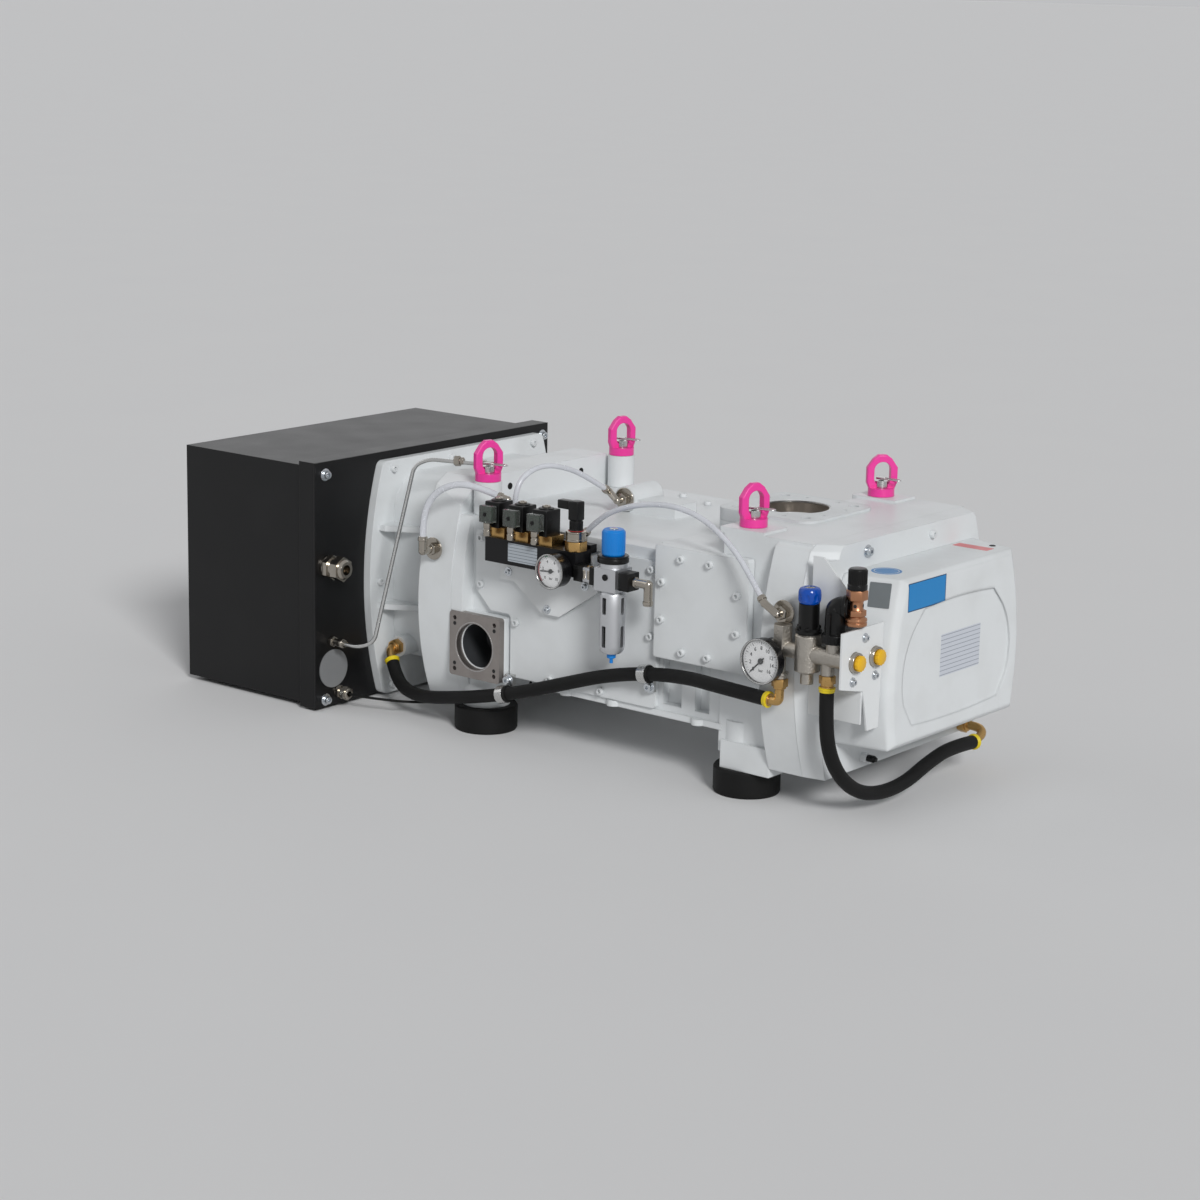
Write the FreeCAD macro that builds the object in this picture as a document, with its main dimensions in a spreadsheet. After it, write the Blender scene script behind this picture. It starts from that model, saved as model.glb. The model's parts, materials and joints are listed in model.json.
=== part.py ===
import FreeCAD, Part
import math
import os
import re

import Sketcher

# Dry screw vacuum pump with its inverter box, purge gas panel and cooling water valve.
# Millimetres. +X runs from the inverter box to the gear cover, -Y is the side with the
# fittings, +Z is up, and the floor under the rubber feet is Z = 0.

Vector = FreeCAD.Vector
Rotation = FreeCAD.Rotation
os.makedirs("parts", exist_ok=True)
doc = FreeCAD.newDocument("dry_screw_vacuum_pump")
sheet = doc.addObject("Spreadsheet::Sheet", "Sizes")
names = []
nodes = {}


def size(name, value, meaning):
    """Write one driving dimension into the sheet and give its cell an alias."""
    names.append(name)
    row = len(names)
    sheet.set(f"A{row}", meaning)
    sheet.set(f"B{row}", str(value))
    sheet.setAlias(f"B{row}", name)


# Stations along the pump
size("panel_x", -342.5, "front plane of the inverter box's panel")
size("box_length", 290, "inverter box from its back to its panel")
size("seam_x", -120, "joint between motor housing and rotor housing")
size("gear_end_x", 514, "joint between rotor housing and end plate")
size("end_plate_depth", 33, "thickness of the end plate")
size("cover_depth", 85.5, "gear cover beyond the end plate")

# Heights
size("body_top", 330, "top of the rotor housing")
size("body_bottom", 97, "underside of the rotor housing")
size("block_top", 380, "top of the motor housing's end block")
size("inlet_top", 376, "top of the inlet block")
size("foot_height", 38.6, "height of a rubber foot")
size("axis_height", 207, "height of both rotor axes")

# Inverter box
size("box_half_width", 265.5, "half the width of the box body")
size("box_bottom", 8, "underside of the box body")
size("box_top", 380.7, "top of the box body")
size("lip_overhang", 7.7, "how far the front lip stands proud of the box")
size("lip_depth", 30.6, "length of the front lip")
size("sheet_thickness", 3, "sheet steel of the box and its panel")

# Motor housing
size("bell_thickness", 14, "flange bolted to the panel")
size("bell_half", 190, "half width of the bell flange at its top and bottom")
size("bell_bulge", 219.5, "half width of the bell flange at mid height")
size("bell_bottom", 5, "underside of the bell flange")
size("bell_top", 376, "top of the bell flange")
size("bell_corner", 12, "corner radius of the bell flange")
size("neck_half", 166, "half width of the motor neck")
size("neck_bottom", 55, "underside of the motor neck")
size("neck_top", 352, "top of the motor neck")
size("neck_corner", 60, "corner radius of the motor neck")
size("flare_length", 66, "end block of the motor housing")
size("flare_bottom", 39.4, "underside of the end block")
size("flare_half_bottom", 182, "half width of the end block at its underside")
size("flare_bulge", 212, "half width of the end block at mid height")
size("flare_shoulder_motor", 172, "half width at the shoulder, motor side")
size("flare_shoulder_z_motor", 366, "height of the shoulder, motor side")
size("flare_shoulder_pump", 191, "half width at the shoulder, pump side")
size("flare_shoulder_z_pump", 342, "height of the shoulder, pump side")
size("flare_half_top", 150, "half width of the flat top")
size("bulge_height", 194, "height of the widest point of the cast flanks")
size("water_boss_x", -300.2, "boss of the water port on the motor neck")
size("water_boss_z", 86.6, "height of the boss on the motor neck")
size("water_boss_y", -133, "face of the boss on the motor neck")
size("water_boss_radius", 16, "radius of the boss on the motor neck")
size("rib_thickness", 9, "webs between the bell flange and the motor neck")
size("rib_reach", 34, "how far the webs stand out of the motor neck")

# Rotor housing
size("body_half", 187, "half width of the rotor housing")
size("joint_flange", 22, "thickness of the housing's flange at the motor end")
size("block_start_x", 365, "where the inlet block begins")
size("block_half", 190, "half width of the inlet block")
size("block_bottom", 60, "underside of the inlet block")
size("gear_flange", 57, "bowed flange at the gear end")
size("gear_flange_half", 196, "half width of the bowed flange at top and bottom")
size("gear_flange_bulge", 226, "half width of the bowed flange at mid height")
size("gear_flange_bottom", 52, "underside of the bowed flange")
size("ledge_start_x", 60, "motor end of the lower ledge")
size("ledge_drop", 7, "lower ledge below the rotor housing's underside")
size("ledge_half", 191, "half width of the lower ledge")
size("lug_radius", 11, "bolt lugs along the lower ledge")
size("core_depth", 14, "depth of the cored recesses under the service plate")
size("core_bottom", 108, "underside of the cored recesses")
size("core_top", 177, "top of the cored recesses")
size("wall_clearance", 0.3, "gap between neighbouring parts")

# Feet and lifting eyes
size("foot_x_motor", -95.4, "feet at the motor end")
size("foot_x_gear", 393, "feet at the gear end")
size("foot_y", 157.5, "feet from the centre plane")
size("foot_radius", 47.8, "radius of a rubber foot")
size("foot_boss_radius", 36, "cast boss above a foot")
size("foot_step_length", 84, "square step of the boss at the gear end")
size("foot_step_height", 40, "height of the square step")
size("eye_x_motor", -95, "lifting eyes at the motor end")
size("eye_x_gear", 391.8, "lifting eyes at the gear end")
size("eye_y", 159, "lifting eyes from the centre plane")
size("eye_height", 61, "height of a lifting eye")
size("eye_width", 46, "width of a lifting eye")
size("eye_thickness", 11, "thickness of a lifting eye")
size("eye_hole_radius", 12.5, "radius of the ends of the eye's hole")
size("eye_collar_radius", 19.5, "collar under the eye")
size("eye_collar_height", 12, "height of the collar")
size("eye_boss_radius", 21, "cast boss under an eye")
size("eye_turn", 20, "angle between three of the eyes and the cross plane")
size("eye_turn_far", 42, "angle between the fourth eye and the cross plane")
size("eye_edge", 2.5, "rounding of an eye's outline edges")
size("eye_screw_radius", 8, "shank of the eye's screw")
size("eye_head_radius", 9.5, "head of the eye's screw")

# Inlet and exhaust
size("inlet_x", 350.8, "axis of the inlet")
size("inlet_bore", 51, "radius of the inlet bore")
size("inlet_flange_half", 84, "half width of the inlet flange")
size("inlet_flange_thickness", 18, "thickness of the inlet flange")
size("inlet_lobe_radius", 24, "radius of the inlet flange's corners")
size("inlet_bolt_circle", 170, "circle of the four large inlet holes")
size("inlet_bolt_radius", 7, "radius of the four large inlet holes")
size("inlet_stud_circle", 145, "circle of the eight small inlet holes")
size("inlet_stud_radius", 3.4, "radius of the eight small inlet holes")
size("duct_step", 1.5, "how much narrower the cast ducts are than the flange bores")
size("exhaust_x", -71, "axis of the exhaust")
size("exhaust_z", 139, "height of the exhaust's axis")
size("exhaust_bore", 35, "radius of the exhaust bore")
size("exhaust_half", 49, "half width of the exhaust flange")
size("exhaust_thickness", 11, "thickness of the exhaust flange")
size("exhaust_stand", 16, "cast boss behind the exhaust flange")
size("exhaust_bolt_circle", 110, "circle of the exhaust flange's holes")
size("exhaust_bolt_radius", 3.4, "radius of the exhaust flange's holes")

# Rotors, gears and motor
size("rotor_distance", 106, "distance between the rotor axes")
size("rotor_radius", 72, "outer radius of a rotor")
size("rotor_start_x", -52, "discharge end of the screws")
size("rotor_end_x", 428, "inlet end of the screws")
size("rotor_turns", 4.5, "turns of the screw thread")
size("rotor_flank_gap", 3, "angle left free at each thread flank, degrees")
size("rotor_root_gap", 0.8, "radial gap between thread tip and mating root")
size("bore_clearance", 1, "radial gap between rotor and bore")
size("bore_run_out", 10, "bore beyond each end of the screws")
size("shaft_radius", 24, "radius of the rotor shafts")
size("bearing_radius", 43, "outer radius of the shaft bearings")
size("bearing_width", 24, "width of the shaft bearings")
size("gear_x", 560, "near face of the timing gears")
size("gear_width", 24, "width of the timing gears")
size("gear_teeth", 24, "teeth of each timing gear")
size("gear_backlash", 0.9, "free play between the gears' flanks")
size("stator_radius", 118, "outer radius of the motor's stator")
size("stator_bore", 66, "inner radius of the motor's stator")
size("stator_length", 120, "length of the motor's stator")
size("air_gap", 1, "gap between stator and motor rotor")

# Gear cover
size("cover_bottom", 102, "underside of the gear cover")
size("cover_top", 338, "top of the gear cover")
size("cover_back_top", 163, "half width of the cover's back at its top")
size("cover_back_bulge", 200, "half width of the cover's back at mid height")
size("cover_back_bottom", 170, "half width of the cover's back at its underside")
size("cover_front_top", 139, "half width of the cover's face at its top")
size("cover_front_bulge", 165, "half width of the cover's face at mid height")
size("cover_front_bottom", 156, "half width of the cover's face at its underside")
size("cover_edge", 7, "rounding of the cover's front edge")
size("cover_recess", 3, "depth of the recess in the cover's face")
size("plate_front_top", 168, "half width of the end plate's front at its top")
size("plate_front_bulge", 207, "half width of the end plate's front at mid height")
size("plate_front_bottom", 190, "half width of the end plate's front at its underside")

# Side covers
size("side_cover_thickness", 8, "water jacket covers")
size("side_cover_start_x", -86, "motor end of the side cover")
size("side_cover_end_x", 255.5, "gear end of the side cover")
size("side_cover_bottom", 100, "underside of the side cover")
size("side_cover_top", 314, "top of the side cover")
size("side_cover_notch_x", -17, "notch beside the exhaust flange")
size("side_cover_notch_z", 194, "height of the notch beside the exhaust flange")
size("service_start_x", 257.5, "motor end of the service plate")
size("service_end_x", 419, "gear end of the service plate")
size("service_bottom", 180, "underside of the service plate")
size("service_top", 342, "top of the service plate")
size("service_thickness", 14, "thickness of the service plate")

# Purge gas panel
size("purge_plate_y", -204, "front of the purge bracket's plate")
size("purge_plate_thickness", 3, "sheet of the purge bracket")
size("manifold_x", -26, "left end of the valve manifold")
size("manifold_front_y", -243, "front of the valve manifold")
size("manifold_length", 170, "length of the valve manifold")
size("manifold_depth", 34, "depth of the valve manifold")
size("manifold_bottom", 282, "underside of the valve manifold")
size("manifold_height", 36, "height of the valve manifold")
size("valve_pitch", 45, "distance between the valves")
size("valve_first_x", -10, "axis of the first valve")
size("coil_width", 27, "width of a solenoid coil")
size("coil_depth", 32, "depth of a solenoid coil")
size("coil_height", 38, "height of a solenoid coil")
size("coil_bottom", 333, "underside of the coils")
size("coil_y", -222, "centre of the coils")
size("plug_depth", 17, "depth of a coil plug")
size("switch_x", 138, "axis of the pressure switch")
size("switch_y", -226, "depth of the pressure switch")
size("purge_gauge_x", 115, "axis of the purge gauge")
size("purge_gauge_z", 290, "height of the purge gauge")
size("purge_gauge_radius", 25.5, "radius of the purge gauge")
size("filter_x", 207, "axis of the filter regulator")
size("filter_bottom", 273.5, "underside of the filter regulator's head")
size("filter_half", 19, "half width of the filter regulator's head")
size("filter_height", 33, "height of the filter regulator's head")
size("filter_ring_height", 17, "black ring above the head")
size("bowl_length", 91, "length of the filter's bowl")
size("bowl_radius", 19.2, "radius of the filter's bowl")
size("regulator_radius", 16.5, "radius of the blue pressure knob")
size("regulator_length", 37, "length of the blue pressure knob")
size("drain_radius", 6.5, "radius of the drain knob")
size("drain_length", 15, "length of the drain knob")
size("outlet_rise", 30, "outlet block above the manifold's underside")
size("outlet_height", 12, "height of the outlet block")
size("outlet_y", -201, "row of the hose outlets")
size("filter_y", -236, "depth of the filter regulator")

# Cooling water valve
size("water_y", -241, "depth of the water valve's axis")
size("valve_x", 546, "axis of the water valve")
size("water_gauge_x", 488, "axis of the water gauge")
size("water_gauge_z", 224, "height of the water gauge")
size("water_gauge_radius", 31.5, "radius of the water gauge")
size("water_gauge_face_y", -271, "front of the water gauge")
size("port_plate_x", 617, "front plate of the water bracket")
size("port_z", 240, "height of the water ports")
size("plug_length", 12.3, "length of a water port's plug")
size("plug_radius", 9, "radius of a water port's plug")
size("water_bottom", 199, "underside of the water valve")
size("water_arm_rise", 42, "water valve's arms above its underside")
size("water_neck_rise", 70, "top of the water valve's body above its underside")
size("neck_length", 40, "length of the thermostat's black neck")
size("thermostat_radius", 15.5, "radius of the thermostat's knob")
size("thermostat_length", 22, "length of the thermostat's knob")
size("strainer_x", 588, "axis of the black strainer elbow")
size("strainer_radius", 16.5, "radius of the strainer elbow")
size("strainer_height", 68, "height of the strainer elbow")
size("safety_bottom", 288, "underside of the safety valve")
size("safety_length", 49, "length of the safety valve")
size("cap_radius", 13.5, "radius of the safety valve's cap")
size("cap_length", 29, "length of the safety valve's cap")
size("gauge_stem_x", 505, "nickel block and brass elbow beside the water gauge")
size("drop_x", 579, "outlet that the rear water hose hangs from")
size("hose_seat_z", 198, "top end of the rear water hose")
size("safety_x", 615, "axis of the safety valve")
size("safety_y", -232, "depth of the safety valve")
size("far_port_x", 44, "purge port on top of the housing")
size("far_port_y", -6, "face of the purge port on top")
size("far_port_z", 350, "height of the purge port on top")
size("motor_port_x", -155, "purge port on the motor housing's flank")
size("motor_port_z", 276, "height of the purge port on the flank")
size("gear_port_x", 495, "purge port on the gear end's flank")
size("gear_port_z", 286, "height of the purge port at the gear end")
size("purge_hose_radius", 4, "outer radius of the two thin purge hoses")
size("wide_hose_radius", 5, "outer radius of the wide purge hose")
size("cooling_hose_radius", 10, "outer radius of the cooling water hoses")
size("sense_tube_radius", 3, "outer radius of the steel tube")
size("cable_radius", 2, "outer radius of the sensor cable")
size("side_plate_y", -218, "front of the water bracket's side plate")

doc.recompute()


def full(text):
    """Turn the names in an expression into references to the sheet."""
    return re.sub(r"[a-z][a-z_]*", lambda m: "Sizes." + m[0] if m[0] in names else m[0], text)


def value(text):
    """Work out an expression in the sheet's names as a plain number."""
    return float(sheet.evalExpression(full(text)))


def bind(item, field, text):
    item.setExpression(field, full(text))


TURN = {
    "z": Rotation(),
    "x": Rotation(Vector(0, 1, 0), 90),
    "y": Rotation(Vector(1, 0, 0), -90),
    "-y": Rotation(Vector(1, 0, 0), 90),
}


def place(item, x, y, z, along="z"):
    """Put an object at a bound place, with its own Z along the given axis."""
    item.Placement = FreeCAD.Placement(Vector(value(x), value(y), value(z)), TURN[along])
    bind(item, "Placement.Base.x", x)
    bind(item, "Placement.Base.y", y)
    bind(item, "Placement.Base.z", z)
    return item


def node(name, item):
    """Name an object as one of the part's pieces."""
    item.Label = name
    nodes[name] = item
    return item


def block(name, x, y, z):
    """A box from three pairs of low and high faces."""
    item = doc.addObject("Part::Box", name)
    for field, pair in zip(("Length", "Width", "Height"), (x, y, z)):
        bind(item, field, f"({pair[1]}) - ({pair[0]})")
    return place(item, x[0], y[0], z[0])


def cylinder(name, x, y, z, radius, length, along="z"):
    item = doc.addObject("Part::Cylinder", name)
    bind(item, "Radius", radius)
    bind(item, "Height", length)
    return place(item, x, y, z, along)


def fuse(name, *pieces):
    item = doc.addObject("Part::MultiFuse", name)
    item.Shapes = list(pieces)
    return item


def cut(name, base, *tools):
    item = doc.addObject("Part::Cut", name)
    item.Base = base
    item.Tool = tools[0] if len(tools) == 1 else fuse(name + "_tools", *tools)
    return item


def start_body(name, x="0", y="0", z="0", along="z"):
    return place(doc.addObject("PartDesign::Body", name), x, y, z, along)


def outline(body, plane, corners, offset="0"):
    """A closed sketch. A corner is (across, up), and the side that leaves it is straight,
    or (across, up, via across, via up), and the side is an arc through the via point."""
    sketch = body.newObject("Sketcher::SketchObject", body.Name + "_outline")
    origin = next(f for f in body.Origin.OriginFeatures if f.Role == plane)
    sketch.AttachmentSupport = [(origin, "")]
    sketch.MapMode = "FlatFace"
    bind(sketch, "AttachmentOffset.Base.z", offset)
    points = [Vector(value(c[0]), value(c[1]), 0) for c in corners]
    ends = []
    for index, corner in enumerate(corners):
        start = points[index]
        end = points[(index + 1) % len(points)]
        if len(corner) == 2:
            sketch.addGeometry(Part.LineSegment(start, end))
            ends.append((1, 2))
            continue
        via = Vector(value(corner[2]), value(corner[3]), 0)
        if (via - start).cross(end - start).z > 0:
            sketch.addGeometry(Part.Arc(start, via, end))
            ends.append((1, 2))
        else:
            sketch.addGeometry(Part.Arc(end, via, start))
            ends.append((2, 1))
    for index in range(len(corners)):
        follower = (index + 1) % len(corners)
        sketch.addConstraint(
            Sketcher.Constraint("Coincident", index, ends[index][1], follower, ends[follower][0]))
    for index, corner in enumerate(corners):
        fix_point(sketch, index, ends[index][0], corner[0], corner[1])
        if len(corner) == 4:
            via = Vector(value(corner[2]), value(corner[3]), 0)
            mark = sketch.addGeometry(Part.Point(via), True)
            sketch.addConstraint(Sketcher.Constraint("PointOnObject", mark, 1, index))
            fix_point(sketch, mark, 1, corner[2], corner[3])
    return sketch


def fix_point(sketch, geometry, end, across, up):
    """Hold a sketch point by two bound distances from the origin."""
    for kind, text in (("DistanceX", across), ("DistanceY", up)):
        number = sketch.addConstraint(
            Sketcher.Constraint(kind, -1, 1, geometry, end, value(text)))
        bind(sketch, f"Constraints[{number}]", text)


def circles(body, plane, discs, offset="0"):
    """A sketch of circles given as (across, up, radius)."""
    sketch = body.newObject("Sketcher::SketchObject", body.Name + "_circles")
    origin = next(f for f in body.Origin.OriginFeatures if f.Role == plane)
    sketch.AttachmentSupport = [(origin, "")]
    sketch.MapMode = "FlatFace"
    bind(sketch, "AttachmentOffset.Base.z", offset)
    for across, up, radius in discs:
        centre = Vector(value(across), value(up), 0)
        index = sketch.addGeometry(Part.Circle(centre, Vector(0, 0, 1), value(radius)))
        fix_point(sketch, index, 3, across, up)
        number = sketch.addConstraint(Sketcher.Constraint("Radius", index, value(radius)))
        bind(sketch, f"Constraints[{number}]", radius)
    return sketch


def pad(body, profile, length):
    feature = body.newObject("PartDesign::Pad", profile.Name + "_pad")
    feature.Profile = profile
    bind(feature, "Length", length)
    return feature


def pocket(body, profile, length):
    """Cut along the sketch plane's own normal."""
    feature = body.newObject("PartDesign::Pocket", profile.Name + "_pocket")
    feature.Profile = profile
    feature.Reversed = True
    bind(feature, "Length", length)
    return feature


def loft(body, first, second):
    feature = body.newObject("PartDesign::AdditiveLoft", first.Name + "_loft")
    feature.Profile = first
    feature.Sections = [second]
    feature.Ruled = True
    return feature


def round_edges(body, radius, chosen):
    """Fillet the edges of the body's tip that pass the test."""
    doc.recompute()
    tip = body.Tip
    edges = [f"Edge{i + 1}" for i, edge in enumerate(tip.Shape.Edges) if chosen(edge)]
    feature = body.newObject("PartDesign::Fillet", body.Name + "_fillet")
    feature.Base = (tip, edges)
    bind(feature, "Radius", radius)
    return feature


def runs_along(axis):
    """Test for straight edges parallel to an axis."""
    return lambda edge: (edge.Curve.TypeId == "Part::GeomLine"
                         and abs(abs(edge.Curve.Direction.dot(axis)) - 1) < 1e-6)


def plain_shape(name, shape, x="0", y="0", z="0"):
    """A piece whose form needs Part's own functions."""
    item = doc.addObject("Part::Feature", name)
    item.Shape = shape
    return place(item, x, y, z)


def aim(shape, position, along):
    """Turn a shape that stands on the origin and put it at a position."""
    shape.Placement = FreeCAD.Placement(Vector(*position), TURN[along])
    return Part.makeCompound([shape])


def turned(profile):
    """Revolve (radius, height) points about Z."""
    points = [Vector(radius, 0, height) for radius, height in profile]
    wire = Part.makePolygon(points + points[:1])
    return Part.Face(wire).revolve(Vector(), Vector(0, 0, 1), 360)


def hexagon(across_flats, height, bottom=0):
    """A hexagonal nut blank standing on a height."""
    radius = across_flats / math.sqrt(3)
    corner = [math.radians(60 * k) for k in range(6)]
    points = [Vector(radius * math.cos(a), radius * math.sin(a), bottom) for a in corner]
    return Part.Face(Part.makePolygon(points + points[:1])).extrude(Vector(0, 0, height))


def route(points):
    """Straight runs joined by arcs that touch them, each as large as its runs allow."""
    bends = []
    for before, here, after in zip(points, points[1:], points[2:]):
        come = (before - here).normalize()
        leave = (after - here).normalize()
        turn = math.pi - come.getAngle(leave)
        reach = 0.45 * min((before - here).Length, (after - here).Length)
        radius = reach / math.tan(turn / 2)
        middle = (come + leave).normalize()
        dip = radius / math.cos(turn / 2) - radius
        bends.append((here + come * reach, here + middle * dip, here + leave * reach, radius))
    edges = []
    last = points[0]
    for start, via, end, radius in bends:
        edges.append(Part.LineSegment(last, start).toShape())
        edges.append(Part.Arc(start, via, end).toShape())
        last = end
    edges.append(Part.LineSegment(last, points[-1]).toShape())
    return Part.Wire(edges), min(bend[3] for bend in bends)


def hose(name, radius, points):
    """A round hose swept along its route, with its volume compared with its length."""
    spine, smallest = route([Vector(*point) for point in points])
    heading = (Vector(*points[1]) - Vector(*points[0])).normalize()
    ring = Part.Wire(Part.makeCircle(radius, Vector(*points[0]), heading))
    shape = spine.makePipeShell([ring], True, False)
    expected = math.pi * radius ** 2 * spine.Length
    print(f"{name}: length {spine.Length:.0f}, smallest radius {smallest:.1f}, "
          f"volume ratio {shape.Volume / expected:.4f}")
    return node(name, plain_shape(name, shape))


# Inverter box: a sheet steel box, open at the front, with a lip that frames the panel
box_back = "panel_x - box_length"
panel_back = "panel_x - sheet_thickness"
lip_half = "box_half_width + lip_overhang"
lip_low = "box_bottom - lip_overhang / 2"
lip_high = "box_top + lip_overhang"
wall = "sheet_thickness"
box_shell = block("box_shell", (box_back, panel_back), ("-box_half_width", "box_half_width"),
                  ("box_bottom", "box_top"))
box_lip = block("box_lip", (f"{panel_back} - lip_depth", panel_back),
                (f"-({lip_half})", lip_half), (lip_low, lip_high))
box_inside = block("box_inside", (f"{box_back} + {wall}", "panel_x"),
                   (f"-box_half_width + {wall}", f"box_half_width - {wall}"),
                   (f"box_bottom + {wall}", f"box_top - {wall}"))
node("inverter_box", cut("box", fuse("box_solid", box_shell, box_lip), box_inside))

drive_y = "rotor_distance / 2"
gland_places = (("-248", "226", 18, 42), ("-225", "24", 10, 26))
panel_blank = block("panel_blank", (panel_back, "panel_x"), (f"-({lip_half})", lip_half),
                    (lip_low, lip_high))
motor_window = cylinder("motor_window", f"{panel_back} - 1", drive_y, "axis_height",
                        "stator_radius", "sheet_thickness + 2", "x")
gland_holes = [cylinder(f"gland_hole_{i}", f"{panel_back} - 1", y, z, str(flats * 0.4),
                        "sheet_thickness + 2", "x")
               for i, (y, z, flats, length) in enumerate(gland_places)]
node("inverter_panel", cut("panel", panel_blank, motor_window, *gland_holes))


def gland(flats, length):
    """A cable gland standing on its panel: body hexagon, waist, dome nut and bore."""
    waist = turned([(0, 0), (flats * 0.95, 0), (flats * 0.95, length * 0.12),
                    (flats * 0.85, length * 0.16), (flats * 0.85, length * 0.9),
                    (flats * 0.7, length), (0, length)])
    body_nut = hexagon(flats * 1.9, length * 0.22, length * 0.14)
    dome_nut = hexagon(flats * 1.9, length * 0.3, length * 0.55)
    bore = Part.makeCylinder(flats * 0.45, length * 0.7, Vector(0, 0, length * 0.4))
    return waist.multiFuse([body_nut, dome_nut]).cut(bore)


panel_front = value("panel_x")
glands = [aim(gland(flats, length), (0, value(y), value(z)), "x")
          for y, z, flats, length in gland_places]
node("cable_glands", plain_shape("glands", Part.makeCompound(glands), "panel_x"))


def socket_screw(radius, head):
    """A cap head standing on its seat, with a shallow socket."""
    blank = Part.makeCylinder(radius, head)
    return blank.cut(hexagon(radius * 0.95, head, head * 0.45))


def washer_screw(radius, head):
    """A cap head on a washer."""
    washer = Part.makeCylinder(radius * 1.6, head * 0.2)
    return washer.fuse(aim(socket_screw(radius, head), (0, 0, head * 0.2), "z"))


corner_y = value("box_half_width") - 14
panel_screws = [aim(washer_screw(6, 7), (panel_front, y, z), "x")
                for y in (-corner_y, corner_y + 7)
                for z in (value("box_bottom") + 8, value("box_top") - 12)]
disc_blank = cylinder("disc_blank", "panel_x", "-235", "63", "30", "2", "x")
node("blanking_disc", disc_blank)

# Motor housing: bell flange, motor neck and the end block that carries the bearings
along_x = Vector(1, 0, 0)
along_z = Vector(0, 0, 1)
bell = start_body("bell_casting", "panel_x")
bell_sketch = outline(bell, "YZ_Plane", [
    (f"{drive_y} - bell_half", "bell_bottom"),
    (f"{drive_y} + bell_half", "bell_bottom", f"{drive_y} + bell_bulge",
     "(bell_bottom + bell_top) / 2"),
    (f"{drive_y} + bell_half", "bell_top"),
    (f"{drive_y} - bell_half", "bell_top", f"{drive_y} - bell_bulge",
     "(bell_bottom + bell_top) / 2")])
pad(bell, bell_sketch, "bell_thickness")
round_edges(bell, "bell_corner", runs_along(along_x))
flare_x = "seam_x - flare_length"
neck = start_body("motor_neck", "panel_x")
neck_sketch = outline(neck, "YZ_Plane", [
    (f"{drive_y} - neck_half", "neck_bottom"),
    (f"{drive_y} + neck_half", "neck_bottom"),
    (f"{drive_y} + neck_half", "neck_top"),
    (f"{drive_y} - neck_half", "neck_top")], "bell_thickness / 2")
pad(neck, neck_sketch, f"{flare_x} - panel_x - bell_thickness / 2 + 4")
round_edges(neck, "neck_corner", runs_along(along_x))


def flank_outline(body, bottom, half_bottom, bulge, shoulder, shoulder_z, top_half, top,
                  offset="0"):
    """The bowed section of the cast end blocks: flat top, sloping shoulders, bowed flanks."""
    return outline(body, "YZ_Plane", [
        (f"-({half_bottom})", bottom),
        (half_bottom, bottom, bulge, "bulge_height"),
        (shoulder, shoulder_z),
        (top_half, top),
        (f"-({top_half})", top),
        (f"-({shoulder})", shoulder_z, f"-({bulge})", "bulge_height")], offset)


flare = start_body("end_block", flare_x)
flare_motor = flank_outline(flare, "flare_bottom", "flare_half_bottom", "flare_bulge",
                            "flare_shoulder_motor", "flare_shoulder_z_motor",
                            "flare_half_top", "block_top")
flare_pump = flank_outline(flare, "flare_bottom", "flare_half_bottom", "flare_bulge",
                           "flare_shoulder_pump", "flare_shoulder_z_pump",
                           "flare_half_top", "block_top", "flare_length")
loft(flare, flare_motor, flare_pump)
eye_bosses = [cylinder(f"eye_boss_{i}", "eye_x_motor", y, "body_top + wall_clearance",
                       "eye_boss_radius", "block_top - body_top - wall_clearance")
              for i, y in enumerate(("-eye_y", "eye_y"))]
motor_cavity = cylinder("motor_cavity", "panel_x - 1", drive_y, "axis_height",
                        "stator_radius + wall_clearance", "stator_length + 16", "x")
shaft_way = cylinder("shaft_way", "panel_x", drive_y, "axis_height",
                     "shaft_radius + bore_clearance", "seam_x - panel_x + 1", "x")
bearing_seats = [cylinder(f"motor_end_seat_{i}", "seam_x - bearing_width", y, "axis_height",
                          "bearing_radius", "bearing_width + 1", "x")
                 for i, y in enumerate((f"-({drive_y})", drive_y))]
motor_eye_holes = [cylinder(f"motor_eye_hole_{i}", "eye_x_motor", y, "block_top - 21",
                            "eye_screw_radius", "22")
                   for i, y in enumerate(("-eye_y", "eye_y"))]
water_boss = cylinder("water_boss", "water_boss_x", "water_boss_y", "water_boss_z",
                      "water_boss_radius", f"{drive_y} - neck_half + 20 - water_boss_y", "y")
ribs = []
for i, (side, rib_z) in enumerate(((-1, "axis_height + 62"), (-1, "axis_height - 62"),
                                   (1, "axis_height + 62"), (1, "axis_height - 62"))):
    rib = start_body(f"neck_rib_{i}", "panel_x", drive_y, rib_z)
    wall_y = f"{side} * (neck_half - 4)"
    far_y = f"{side} * (neck_half + rib_reach)"
    rib_corners = [("bell_thickness - 2", wall_y), ("bell_thickness - 2", far_y),
                   ("bell_thickness + 12", far_y), ("bell_thickness + 74", wall_y)]
    pad(rib, outline(rib, "XY_Plane", rib_corners), "rib_thickness")
    ribs.append(rib)
motor_casting = fuse("motor_casting", bell, neck, flare, water_boss, *ribs, *eye_bosses)
node("motor_housing", cut("motor_housing_cut", motor_casting, motor_cavity, shaft_way,
                          *bearing_seats, *motor_eye_holes))

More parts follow.
